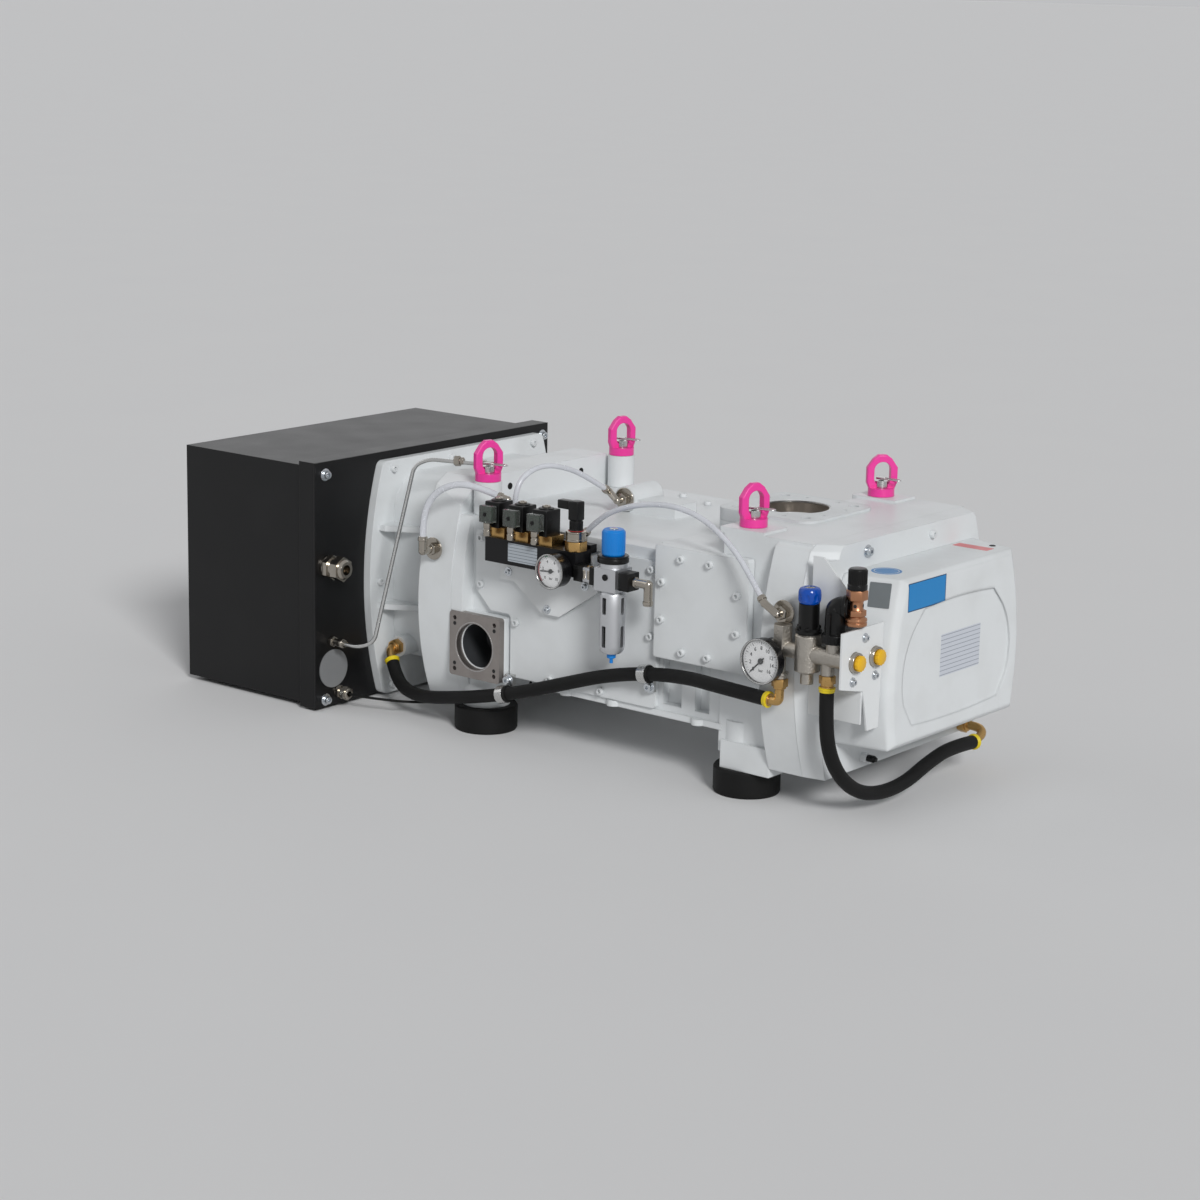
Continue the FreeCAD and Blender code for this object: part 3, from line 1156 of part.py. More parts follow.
# Cooling water valve: manifold, thermostat, gauge, strainer elbow and safety valve
arm_z = "water_bottom + water_arm_rise"
neck_z = "water_bottom + water_neck_rise"
rise = value("water_arm_rise")
body_length = value("water_neck_rise")
manifold_body = turned([(0, 0), (9, 0), (9, 14), (17.5, 18), (17.5, body_length - 4),
                        (14, body_length), (0, body_length)])
arm_length = value("port_plate_x - valve_x - wall_clearance")
arm = Part.makeCylinder(13, arm_length, Vector(0, 0, rise), along_x)
stem_offset = value("gauge_stem_x - valve_x")
tee_length = value("valve_x - water_gauge_x - 2 - wall_clearance")
tee_radius = 11
tee = Part.makeCylinder(tee_radius, tee_length, Vector(0, 0, rise), Vector(-1, 0, 0))
stem_block = hexagon(24, 33).translated(Vector(stem_offset, 0, rise))
drop_low = value("hose_seat_z - water_bottom") + 18
drop = Part.makeCylinder(9, rise - drop_low, Vector(value("drop_x - valve_x"), 0, drop_low))
riser = Part.makeCylinder(tee_radius, 12, Vector(value("strainer_x - valve_x"), 0, rise + 8))
water_body = manifold_body.multiFuse([arm, tee, stem_block, drop, riser])
node("water_manifold", plain_shape("water_body", water_body, "valve_x", "water_y",
                                   "water_bottom"))
neck_length = value("neck_length")
neck_piece = turned([(0, 0), (18, 0), (18, 4), (14, 6), (14, neck_length), (0, neck_length)])
node("thermostat_neck", plain_shape("black_neck", neck_piece, "valve_x", "water_y", neck_z))
thermo_radius, thermo_length = value("thermostat_radius"), value("thermostat_length")
thermo = turned([(0, 0), (thermo_radius - 2, 0), (thermo_radius, 5),
                 (thermo_radius, thermo_length - 6), (thermo_radius - 3, thermo_length - 1),
                 (8, thermo_length), (0, thermo_length)])
node("thermostat_knob", plain_shape("blue_knob", thermo, "valve_x", "water_y",
                                    f"{neck_z} + neck_length + wall_clearance"))
leg_radius, leg_height = value("strainer_radius"), value("strainer_height")
leg = turned([(0, 0), (leg_radius - 2, 0), (leg_radius - 2, 10), (leg_radius, 12),
              (leg_radius, leg_height - 8), (leg_radius - 5, leg_height), (0, leg_height)])
to_safety = Vector(value("safety_x - strainer_x"), value("safety_y - water_y"), 0)
cross_length = to_safety.Length - 12.8
cross = Part.makeCylinder(12.5, cross_length, Vector(0, 0, leg_height - 20), to_safety)
strainer_z = f"{arm_z} + 20 + wall_clearance"
node("strainer_elbow", plain_shape("black_elbow", leg.fuse(cross), "strainer_x", "water_y",
                                   strainer_z))
safety_length = value("safety_length")
safety = turned([(0, 0), (9.5, 0), (12, 14), (9, 22), (9, safety_length - 15),
                 (12.5, safety_length - 11), (12.5, safety_length), (0, safety_length)])
node("safety_valve", plain_shape("bronze_valve", safety, "safety_x", "safety_y",
                                 "safety_bottom"))
cap_radius, cap_length = value("cap_radius"), value("cap_length")
cap = turned([(0, 0), (cap_radius, 0), (cap_radius, 7), (cap_radius - 1.5, 9),
              (cap_radius - 1.5, cap_length - 2), (cap_radius - 3, cap_length), (0, cap_length)])
node("valve_cap", plain_shape("black_cap", cap, "safety_x", "safety_y",
                              "safety_bottom + safety_length + wall_clearance"))
side_plate = start_body("water_side_plate", "0", bracket_back)
pad(side_plate, outline(side_plate, "XZ_Plane", [
    ("534", "150"), ("port_plate_x + 1", "150"), ("port_plate_x + 1", "300"),
    ("551", "368"), ("534", "368")]), "sheet_thickness")
port_plate = start_body("water_port_plate", "port_plate_x")
pad(port_plate, outline(port_plate, "YZ_Plane", [
    ("-270", "208"), ("-216", "196"), ("-203", "139"), ("-176", "139"), ("-172", "284"),
    ("-270", "284")]), "sheet_thickness")
node("water_bracket", fuse("water_bracket_solid", side_plate, port_plate))
water_case = aim(gauge_case(value("water_gauge_radius"), 18), (0, 0, 0), "-y")
water_case = water_case.fuse(Part.makeBox(10, 21, 20, Vector(-8, 0, 6)))
node("water_gauge", plain_shape("water_gauge_case", water_case, "water_gauge_x",
                                "water_gauge_face_y + 18", "water_gauge_z"))
water_pointer = needle(value("water_gauge_radius"), 135)
node("water_needle", plain_shape("water_pointer", aim(water_pointer, (0, 0, 0), "-y"),
                                 "water_gauge_x", "water_gauge_face_y + 4.6", "water_gauge_z"))
ports = []
port_face = value("port_plate_x + sheet_thickness")
for y in (-244, -196):
    port_plug = Part.makeCylinder(value("plug_radius"), value("plug_length"))
    ports.append(aim(port_plug, (port_face, y, value("port_z")), "x"))
node("port_plugs", plain_shape("plugs_yellow", Part.makeCompound(ports)))

# Screws of the covers, flanges and end plates: plain heads, one group
cover_face = value("body_half + side_cover_thickness")
service_face = value("body_half + side_cover_thickness / 2 + service_thickness")
bell_face = value("panel_x + bell_thickness")
plate_face = value("gear_end_x + end_plate_depth")
head = Part.makeCylinder(5.5, 6)
heads = list(panel_screws)
for x, z in ((-74, 302), (-74, 224 + 8), (-5, 184), (61, 109), (157, 109), (245, 302),
             (245, 205)):
    heads.append(aim(head.copy(), (x, -cover_face, z), "-y"))
    heads.append(aim(head.copy(), (x, cover_face, z), "y"))
for x, z in ((304, 327), (354, 327), (402, 290), (402, 236), (354, 194), (309, 194),
             (271, 236), (271, 290)):
    heads.append(aim(head.copy(), (x, -service_face, z), "-y"))
for y, z in ((-116, 363), (19.5, 363), (85, 363), (218, 363), (-146, 188), (252, 188),
             (-119, 18.5), (225, 18.5)):
    heads.append(aim(head.copy(), (bell_face, y, z), "x"))
for y, z in ((-108, 360), (54, 360)):
    heads.append(aim(head.copy(), (plate_face, y, z), "x"))
for x, y in ((34, 152), (100, 127), (180, 150)):
    heads.append(aim(head.copy(), (x, y, value("body_top")), "z"))
node("housing_screws", plain_shape("cover_screws", Part.makeCompound(heads)))


def bent(radius, points):
    """A round tube along straight runs joined by arcs."""
    spine, smallest = route([Vector(*point) for point in points])
    heading = (Vector(*points[1]) - Vector(*points[0])).normalize()
    ring = Part.Wire(Part.makeCircle(radius, Vector(*points[0]), heading))
    return spine.makePipeShell([ring], True, False)


def fitting(radius, points, flats, washer=0):
    """An elbow: hexagon at its seat, bent tube and a collar at its outlet."""
    start, follower = Vector(*points[0]), Vector(*points[1])
    end, before = Vector(*points[-1]), Vector(*points[-2])
    out = (follower - start).normalize()
    last = (end - before).normalize()
    nut = hexagon(flats, flats * 0.5)
    nut.Placement = FreeCAD.Placement(start, Rotation(Vector(0, 0, 1), out))
    collar = Part.makeCylinder(radius * 1.25, flats * 0.5, end - last * (flats * 0.5), last)
    pieces = [nut, collar]
    if washer:
        pieces.append(Part.makeCylinder(washer, 2, start, out))
    return bent(radius, points).multiFuse(pieces)


def behind(points, distance):
    """A point on the axis of a hose's end, before its first point."""
    first, second = Vector(*points[0]), Vector(*points[1])
    return tuple(first + (first - second).normalize() * distance)


port_wall = -value("flare_bulge")
gear_wall = -value("gear_flange_bulge")
motor_port = (value("motor_port_x"), port_wall, value("motor_port_z"))
far_port = (value("far_port_x"), value("far_port_y"), value("far_port_z"))
gear_port = (value("gear_port_x"), gear_wall, value("gear_port_z"))
hose_1 = [(-155, -236, 298), (-155, -236, 330), (-140, -232, 362), (-108, -225, 382),
          (-72, -214, 383), (-36, -204, 371)]
hose_2 = [(-7, -201, 340), (-7, -201, 378), (-4, -184, 404), (3, -148, 415), (11, -108, 407),
          (15, -66, 390), (20, -26, 366)]
hose_3 = [(132, -201, 343), (154, -202, 364), (192, -204, 384), (245, -207, 398),
          (297, -211, 402), (345, -215, 393), (385, -221, 374), (416, -228, 354),
          (442, -235, 331), (466, -241, 306)]
hose_4 = [(-288, -160, 72), (-268, -171, 48), (-229, -188, 37), (-181, -200, 39),
          (-126, -207, 50), (-66, -212, 63), (-4, -214, 79), (54, -215, 97), (112, -214, 117),
          (175, -212, 138), (245, -211, 154), (322, -214, 163), (398, -236, 167),
          (484, -240, 165)]
hose_5 = [(579, -241, 198), (579, -241, 150), (580, -232, 106), (582, -206, 66),
          (584, -162, 36), (586, -108, 24), (588, -50, 27), (589, 4, 44), (590, 62, 55),
          (590, 126, 50)]
tube_5 = value("purge_hose_radius") + 1
outlet_z = value(outlet_top)
outlet_row = value("outlet_y")
seat_1 = behind(hose_1[::-1], 16)
seat_3 = behind(hose_3, 14)
elbows = [
    fitting(6, (motor_port, (-155, -236, value("motor_port_z")), hose_1[0]), 17, 17),
    fitting(tube_5, ((seat_1[0], seat_1[1], outlet_z), seat_1, hose_1[-1]), 13),
    fitting(tube_5, (far_port, (44, -25, 350), behind(hose_2[::-1], 12), hose_2[-1]), 17, 17),
    fitting(tube_5, ((seat_3[0], seat_3[1], outlet_z), seat_3, hose_3[0]), 12),
    fitting(tube_5, (gear_port, (495, -243, 286), behind(hose_3[::-1], 12), hose_3[-1]), 17, 17)]
side_port = (value(side_x) + 0.3, value("filter_y"), value(side_z))
side_turn = (side_port[0] + 26, side_port[1], side_port[2])
elbows.append(fitting(7, (side_port, side_turn, (side_turn[0], side_turn[1], side_port[2] - 30)),
                      14))
stem = Part.makeCylinder(4.6, hose_2[0][2] - outlet_z, Vector(hose_2[0][0], outlet_row, outlet_z))
elbows.append(stem.fuse(hexagon(12, 8).translated(Vector(hose_2[0][0], outlet_row, outlet_z))))
box_fitting = Part.makeCylinder(6, 30, Vector(panel_front, -239.8, 107), along_x)
for x, flats in ((panel_front, 15), (panel_front + 18, 13)):
    nut = hexagon(flats, 9)
    nut.Placement = FreeCAD.Placement(Vector(x, -239.8, 107), TURN["x"])
    box_fitting = box_fitting.fuse(nut)
elbows.append(box_fitting)
tube_route = ((panel_front + 30, -239.8, 107), (-284, -239.8, 107), (-262, -228, 116),
              (-243, -160, 384), (-222, -150, 395), (-140, -122, 394))
turn_point = behind(tube_route[::-1], 18)
top_seat = fitting(5, ((turn_point[0], turn_point[1], value("block_top")), turn_point,
                       tube_route[-1]), 13)
elbows.append(top_seat)
cable_route = [(panel_front + 26, -225, 24), (-290, -225, 24), (-200, -185, 22),
               (-140, -108, 30), (-80, -92, 36), (-60, -92, 62), (-60, -92, 85)]
under_gland = Part.makeCylinder(6, 12, Vector(-60, -92, 85), along_z)
elbows.append(under_gland)
node("nickel_fittings", plain_shape("push_fittings", Part.makeCompound(elbows)))
boss_face = (value("water_boss_x"), value("water_boss_y"), value("water_boss_z"))
first_slope = (hose_4[0][2] - hose_4[1][2]) / math.dist(hose_4[0], hose_4[1])
seat_4 = behind(hose_4, (boss_face[2] - hose_4[0][2]) / first_slope)
boss_face = (seat_4[0], boss_face[1] - 0.1, boss_face[2])
tee_turn = behind(hose_4[::-1], 18)
tee_low = value(arm_z) - tee_radius - 0.3
hose_top = (hose_5[0][0], hose_5[0][1], hose_5[0][2])
brass = [
    fitting(8, (boss_face, seat_4, hose_4[0]), 24),
    fitting(8, ((tee_turn[0], tee_turn[1], tee_low), tee_turn, hose_4[-1]), 22),
    Part.makeCylinder(9, 12, Vector(*hose_top)).fuse(
        hexagon(20, 6).translated(Vector(hose_top[0], hose_top[1], hose_top[2] + 11.7))),
    fitting(8, ((547, 158, 63), (580, 158, 63), behind(hose_5[::-1], 14), hose_5[-1]), 22)]
node("brass_fittings", plain_shape("hose_ends", Part.makeCompound(brass)))
clamps = []
clamp_wall = -195.5
clamped = route([Vector(*point) for point in hose_4])[0].discretize(400)
for x, tab_bottom in ((-12, 2), (250, -28)):
    here = min(range(1, 399), key=lambda number: abs(clamped[number].x - x))
    centre = clamped[here]
    heading = (clamped[here + 1] - clamped[here - 1]).normalize()
    outside = value("cooling_hose_radius") + 3.5
    band = Part.makeCylinder(outside, 14, centre - heading * 7, heading)
    tab_y = centre.y + outside - 3
    tab = Part.makeBox(14, clamp_wall - tab_y, 26, Vector(x - 7, tab_y, centre.z + tab_bottom))
    band = band.fuse(tab)
    band = band.cut(Part.makeCylinder(outside - 1.5, 20, centre - heading * 10, heading))
    clamps.append(band)
node("hose_clamps", plain_shape("p_clamps", Part.makeCompound(clamps)))
hose("purge_hose_1", value("wide_hose_radius"), hose_1)
hose("purge_hose_2", value("purge_hose_radius"), hose_2)
hose("purge_hose_3", value("purge_hose_radius"), hose_3)
hose("cooling_hose_front", value("cooling_hose_radius"), hose_4)
hose("cooling_hose_rear", value("cooling_hose_radius"), hose_5)
tube = bent(value("sense_tube_radius"), tube_route)
node("sense_tube", plain_shape("steel_tube", tube))
hose("sensor_cable", value("cable_radius"), cable_route)

bad = []
doc.recompute()
for item in doc.Objects:
    if "Invalid" in item.State or "Error" in item.State:
        bad.append(item.Name)
for name, item in nodes.items():
    shape = item.Shape
    if shape.isNull() or not shape.isValid() or shape.Volume <= 0:
        bad.append(name)
print("failed:", bad)
if bad:
    raise SystemExit("some objects failed: " + ", ".join(bad))
for name, item in nodes.items():
    item.Shape.exportStep(f"parts/{name}.step")
print(len(nodes), "nodes written")
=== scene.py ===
# %% [markdown]
# A dry screw vacuum pump. A black sheet-metal drive box stands on the left, a white cast body
# with its valves, hoses and lifting eyes lies in the middle, and a white cover closes the gears
# on the right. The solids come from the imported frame. This lesson gives each of them its
# finish, then adds what is too small or too soft for the solids: dials, screws, hoses, plates.

# %% Load the frame
import bpy
import json
import math
from mathutils import Matrix, Vector


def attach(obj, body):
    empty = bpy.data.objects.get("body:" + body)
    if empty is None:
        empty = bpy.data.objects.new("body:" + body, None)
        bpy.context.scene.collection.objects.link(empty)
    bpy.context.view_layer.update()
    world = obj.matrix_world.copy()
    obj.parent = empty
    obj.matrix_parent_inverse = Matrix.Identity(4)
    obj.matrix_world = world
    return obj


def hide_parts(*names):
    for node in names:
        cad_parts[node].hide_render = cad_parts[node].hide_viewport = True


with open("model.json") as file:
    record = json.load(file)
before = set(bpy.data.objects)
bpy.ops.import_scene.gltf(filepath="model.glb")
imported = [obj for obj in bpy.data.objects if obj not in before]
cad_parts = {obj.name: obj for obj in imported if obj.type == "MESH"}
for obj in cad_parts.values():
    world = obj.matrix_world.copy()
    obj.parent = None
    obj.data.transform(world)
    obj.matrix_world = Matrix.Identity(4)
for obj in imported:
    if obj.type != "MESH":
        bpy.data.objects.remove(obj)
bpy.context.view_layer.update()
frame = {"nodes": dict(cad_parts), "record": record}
NODES = frame["nodes"]
MM = 0.001

# %% [markdown]
# The photograph was taken from the right front, a little above the machine, with a longer
# lens. The camera's own axes are worked out from its compass angle, its height angle and a
# small roll. The picture is 1200 pixels square, and the lens is given for a 36 mm sensor.

# %% Camera at the photograph's angle
turn, lift, roll = math.radians(38.74), math.radians(12.92), math.radians(1.13)
back = Vector((math.sin(turn) * math.cos(lift), -math.cos(turn) * math.cos(lift), math.sin(lift)))
level_right = (-back).cross(Vector((0, 0, 1))).normalized()
level_up = level_right.cross(-back)
right = math.cos(roll) * level_right + math.sin(roll) * level_up
up = math.cos(roll) * level_up - math.sin(roll) * level_right
stand = Vector((2.5968, -3.2427, 1.1393))
lens = bpy.data.cameras.new("camera")
lens.sensor_width, lens.lens = 36, 83.866
camera = bpy.data.objects.new("camera", lens)
bpy.context.scene.collection.objects.link(camera)
camera.matrix_world = Matrix.Translation(stand) @ Matrix((right, up, back)).transposed().to_4x4()
bpy.context.scene.camera = camera
print("camera at", [round(v, 2) for v in camera.location])

# %% [markdown]
# Shader maths reads best as plain sums. This small class wraps one socket, so that adding or
# multiplying two of them places the matching Math node. Every other kind of node comes from
# one method, which takes the node's type, its settings and the values of its sockets.


# %% Sockets that add and multiply
FINISHES = {}


class Wire:
    def __init__(self, graph, socket):
        self.graph, self.socket = graph, socket

    def maths(self, operation, first, second):
        return self.graph.add("ShaderNodeMath", {"operation": operation}, {0: first, 1: second})

    def above(self, other):
        return self.maths("GREATER_THAN", self, other)

    def within(self, low, high):
        return self.above(low) * (1 - self.above(high))

    def __add__(self, other):
        return self.maths("ADD", self, other)

    def __mul__(self, other):
        return self.maths("MULTIPLY", self, other)

    def __sub__(self, other):
        return self.maths("SUBTRACT", self, other)

    def __rsub__(self, other):
        return self.maths("SUBTRACT", other, self)

    __radd__, __rmul__ = __add__, __mul__


class Graph:
    def __init__(self, tree):
        self.tree = tree
        tree.nodes.clear()

    def add(self, kind, settings, inputs, output=0):
        part = self.tree.nodes.new(kind)
        for key, setting in settings.items():
            setattr(part, key, setting)
        for key, given in inputs.items():
            if isinstance(given, Wire):
                self.tree.links.new(given.socket, part.inputs[key])
            elif part.inputs[key].type == "RGBA":
                part.inputs[key].default_value = (*given, 1)
            else:
                part.inputs[key].default_value = given
        return Wire(self, part.outputs[output] if part.outputs else None)


class Finish(Graph):
    def __init__(self, name):
        self.name, self.material = name, bpy.data.materials.new(name)
        self.material.use_nodes = True
        super().__init__(self.material.node_tree)
        self.place = self.add("ShaderNodeTexCoord", {}, {}, "Object")

    def clouds(self, scale, detail=2.0):
        return self.add("ShaderNodeTexNoise", {}, {"Vector": self.place, "Scale": scale,
                                                   "Detail": detail}, "Fac")

    def ramp(self, share, low, high):
        return self.add("ShaderNodeMapRange", {}, {"Value": share, "From Min": low,
                                                   "From Max": high})

    def blend(self, share, first, second):
        return self.add("ShaderNodeMix", {"data_type": "RGBA"}, {0: share, 6: first, 7: second},
                        2)

    def relief(self, height, depth, edge=0.0):
        inputs = {"Height": height, "Distance": depth}
        if edge:
            inputs["Normal"] = self.add("ShaderNodeBevel", {"samples": 4}, {"Radius": edge})
        return self.add("ShaderNodeBump", {}, inputs)

    def axes(self):
        return [self.add("ShaderNodeSeparateXYZ", {}, {"Vector": self.place}, axis)
                for axis in "XYZ"]

    def close(self, **sockets):
        shader = self.add("ShaderNodeBsdfPrincipled", {}, {
            key.replace("_", " "): given for key, given in sockets.items()})
        self.add("ShaderNodeOutputMaterial", {}, {"Surface": shader})
        FINISHES[self.name] = self.material


print("shader maths ready")

# %% [markdown]
# Satin paint on a casting is never quite flat. Under it lies the soft waviness of the sand
# mould, on it the fine orange peel of the spray, and handling leaves it a little greyer in
# places. Three noises at those three scales give that, in colour, roughness and relief. The
# solids have sharp edges, while paint always runs round an edge, so a Bevel node bends the
# normal near each edge. That costs no faces.


# %% Paint
def paint(name, colour, dirt, roughness, waves=0.00025, peel=0.00003, edge=0.0022, coat=0.0,
          shine=0.5):
    made = Finish(name)
    broad, grain, wave = made.clouds(14, 3), made.clouds(420), made.clouds(38)
    tint = made.blend(made.ramp(broad, 0.45, 0.8), colour, dirt)
    made.close(Base_Color=tint, Roughness=broad * 0.12 + grain * 0.08 + (roughness - 0.1),
               Normal=made.relief(wave * (waves / peel) + grain, peel, edge),
               Coat_Weight=coat, Coat_Roughness=0.15, Specular_IOR_Level=shine)


WHITE, GREYED = (0.75, 0.775, 0.785), (0.69, 0.71, 0.715)
FLAT = 0.00001
paint("body_paint", WHITE, GREYED, 0.40)
paint("inlet_paint", (0.70, 0.725, 0.735), (0.62, 0.64, 0.645), 0.42)
paint("white_sheet", (0.78, 0.80, 0.805), (0.73, 0.75, 0.755), 0.36, 0.00002, edge=0.0008)
paint("box_black", (0.0045, 0.0045, 0.005), (0.007, 0.007, 0.0075), 0.4, 0.00003, 0.00002,
      0.0018, shine=0.32)
paint("eye_pink", (0.90, 0.045, 0.36), (0.84, 0.035, 0.31), 0.34, 0.0001, edge=0.0014, coat=0.2)
paint("pointer_black", (0.008, 0.008, 0.008), (0.012, 0.012, 0.012), 0.5, edge=0.0002)
paint("label_blue", (0.0, 0.20, 0.52), (0.0, 0.17, 0.46), 0.32, FLAT, edge=0)
paint("label_red", (0.74, 0.17, 0.18), (0.66, 0.15, 0.16), 0.36, FLAT, edge=0)
paint("label_grey", (0.17, 0.19, 0.20), (0.13, 0.145, 0.15), 0.4, FLAT, edge=0)
print("paints:", len(FINISHES))

# %% [markdown]
# Plated and turned metal reflects, and what tells one from another is its tint and how fine and
# how deep its grain is. A cast piece that is plated later keeps the pits of the sand under its
# shine.


# %% Metals
def metal(name, colour, stain, roughness, grain=600, depth=0.00001, edge=0.0005):
    made = Finish(name)
    fine, broad = made.clouds(grain, 3), made.clouds(45, 3)
    made.close(Base_Color=made.blend(broad, colour, stain), Metallic=1.0,
               Roughness=fine * 0.16 + broad * 0.14 + (roughness - 0.15),
               Normal=made.relief(fine, depth, edge))


metal("machined_iron", (0.40, 0.365, 0.345), (0.30, 0.275, 0.26), 0.5, 260, 0.00006)
metal("steel", (0.66, 0.66, 0.65), (0.54, 0.54, 0.53), 0.26)
metal("zinc", (0.70, 0.73, 0.76), (0.58, 0.61, 0.64), 0.26, 500)
metal("nickel", (0.50, 0.46, 0.40), (0.34, 0.31, 0.27), 0.2)
metal("cast_nickel", (0.56, 0.53, 0.48), (0.36, 0.33, 0.29), 0.36, 420, 0.0009, 0.0012)
# Darker and browner than bright brass: partly its own tone, partly painted shade, for brass that
# lies in the shadow of the valve coils.
metal("brass", (0.66, 0.42, 0.16), (0.50, 0.30, 0.11), 0.3)
metal("bronze", (0.58, 0.29, 0.16), (0.42, 0.20, 0.11), 0.32, 400, 0.0002)
metal("silver_cast", (0.66, 0.67, 0.69), (0.58, 0.59, 0.61), 0.44, 500, 0.00005, 0.001)
metal("rotor_iron", (0.36, 0.36, 0.37), (0.30, 0.30, 0.30), 0.3)
metal("gear_steel", (0.5, 0.5, 0.5), (0.42, 0.42, 0.42), 0.3)
metal("motor_core", (0.3, 0.3, 0.32), (0.24, 0.24, 0.25), 0.45)
print("with metals:", len(FINISHES))

# %% [markdown]
# Plastics and rubber are the dull neighbours that make the metal look bright. Moulded parts
# get a very fine spark-eroded texture. The thin air hoses let some light through, and so do
# the smoky plugs on the valve coils. A gauge glass is almost clear: only its gloss shows.


# %% Plastics and rubber
def moulded(name, colour, roughness, texture=900, depth=0.00002, edge=0.0006, **more):
    made = Finish(name)
    fine, broad = made.clouds(texture), made.clouds(30)
    shade = tuple(0.82 * c for c in colour)
    made.close(Base_Color=made.blend(broad, colour, shade),
               Roughness=fine * 0.12 + broad * 0.08 + (roughness - 0.1),
               Normal=made.relief(fine, depth, edge), **more)


DULL = {"Specular_IOR_Level": 0.3}
moulded("rubber_black", (0.008, 0.008, 0.008), 0.6, 700, 0.00006, 0.001, Specular_IOR_Level=0.2)
moulded("white_hose", (0.86, 0.88, 0.93), 0.25, 300, 0.00001, 0, Transmission_Weight=0.25)
moulded("anodised_black", (0.006, 0.006, 0.007), 0.32, **DULL)
moulded("black_plastic", (0.005, 0.005, 0.005), 0.3, **DULL)
moulded("smoke_plastic", (0.30, 0.33, 0.30), 0.06, 200, 0.000006, 0.0008,
        Transmission_Weight=0.8)
moulded("gauge_case", (0.006, 0.006, 0.007), 0.28, **DULL)
moulded("gauge_glass", (0.9, 0.93, 0.95), 0.12, 200, 0.000002, 0, Alpha=0.05)
moulded("knob_blue", (0.0, 0.235, 0.74), 0.34)
moulded("knob_navy", (0.0, 0.075, 0.46), 0.18)
moulded("plug_yellow", (0.93, 0.53, 0.01), 0.36)
moulded("ring_yellow", (0.86, 0.66, 0.01), 0.4)
moulded("dull_disc", (0.23, 0.235, 0.24), 0.55, 60, 0.00008)
moulded("mark_black", (0.008, 0.008, 0.008), 0.5, edge=0)
moulded("mark_red", (0.42, 0.02, 0.02), 0.5, edge=0)
moulded("mark_green", (0.02, 0.30, 0.12), 0.5, edge=0)
moulded("dial_white", (0.86, 0.86, 0.86), 0.4, edge=0)
moulded("circuit_green", (0.015, 0.06, 0.03), 0.4)
for part in frame["record"]["subparts"]:
    shown = NODES[part["node"]]
    shown.data.materials.clear()
    shown.data.materials.append(FINISHES[part["material_slot"]])

# %% [markdown]
# The floor is a plain pale sheet, and the light is that of a studio: an even pale surround, one
# broad key lamp from the front right and above, a fainter one from the left and a low one from
# behind, which draws a sheen along the tops. A lamp of the sun kind lights near and far alike,
# so the floor stays even to its edge. The surround looks brighter than it lights.

# %% Floor, surround and lamps
bpy.ops.object.select_all(action="DESELECT")
bpy.ops.mesh.primitive_plane_add(size=160)
floor = bpy.context.active_object
floor.name = "floor"
ground = Finish("floor_paper")
ground.close(Base_Color=ground.blend(ground.clouds(3), (0.80, 0.80, 0.80), (0.785, 0.785, 0.79)),
             Roughness=0.9)
floor.data.materials.append(ground.material)

studio = bpy.data.worlds.new("studio")
bpy.context.scene.world = studio
studio.use_nodes = True
sky = Graph(studio.node_tree)
camera_ray, glossy_ray, clear_ray = [
    sky.add("ShaderNodeLightPath", {}, {}, kind)
    for kind in ("Is Camera Ray", "Is Glossy Ray", "Is Transmission Ray")]
seen = camera_ray.maths("MAXIMUM", camera_ray, glossy_ray)
seen = seen.maths("MAXIMUM", seen, clear_ray)
lit, look = [sky.add("ShaderNodeBackground", {}, {"Color": (0.97, 0.98, 1.0), "Strength": level})
             for level in (0.30, 0.53)]
sky.add("ShaderNodeOutputWorld", {}, {
    "Surface": sky.add("ShaderNodeMixShader", {}, {0: seen, 1: lit, 2: look})})


def lamp(name, toward, strength, spread):
    light = bpy.data.lights.new(name, "SUN")
    light.energy, light.angle = strength, math.radians(spread)
    holder = bpy.data.objects.new(name, light)
    bpy.context.scene.collection.objects.link(holder)
    holder.rotation_euler = Vector(toward).to_track_quat("-Z", "Y").to_euler()


lamp("key", (-0.74, 0.5, -0.52), 1.85, 14)
lamp("fill", (0.8, 0.35, -0.6), 0.22, 40)
lamp("back", (0.62, -0.78, -0.34), 0.14, 40)
bpy.context.scene.view_settings.view_transform = "Standard"

# %% [markdown]
# Six hoses and leads hang between the fittings. A flexible line of fixed length is best drawn
# as one smooth spline through a few control points, the same ones that the solid follows, with
# a round bevel for its thickness. The order is set after the points are in, or it stays at
# straight runs. The thin white ones are stiff plastic and stand up in arcs, and the black
# rubber ones sag under their own weight between two clamps.

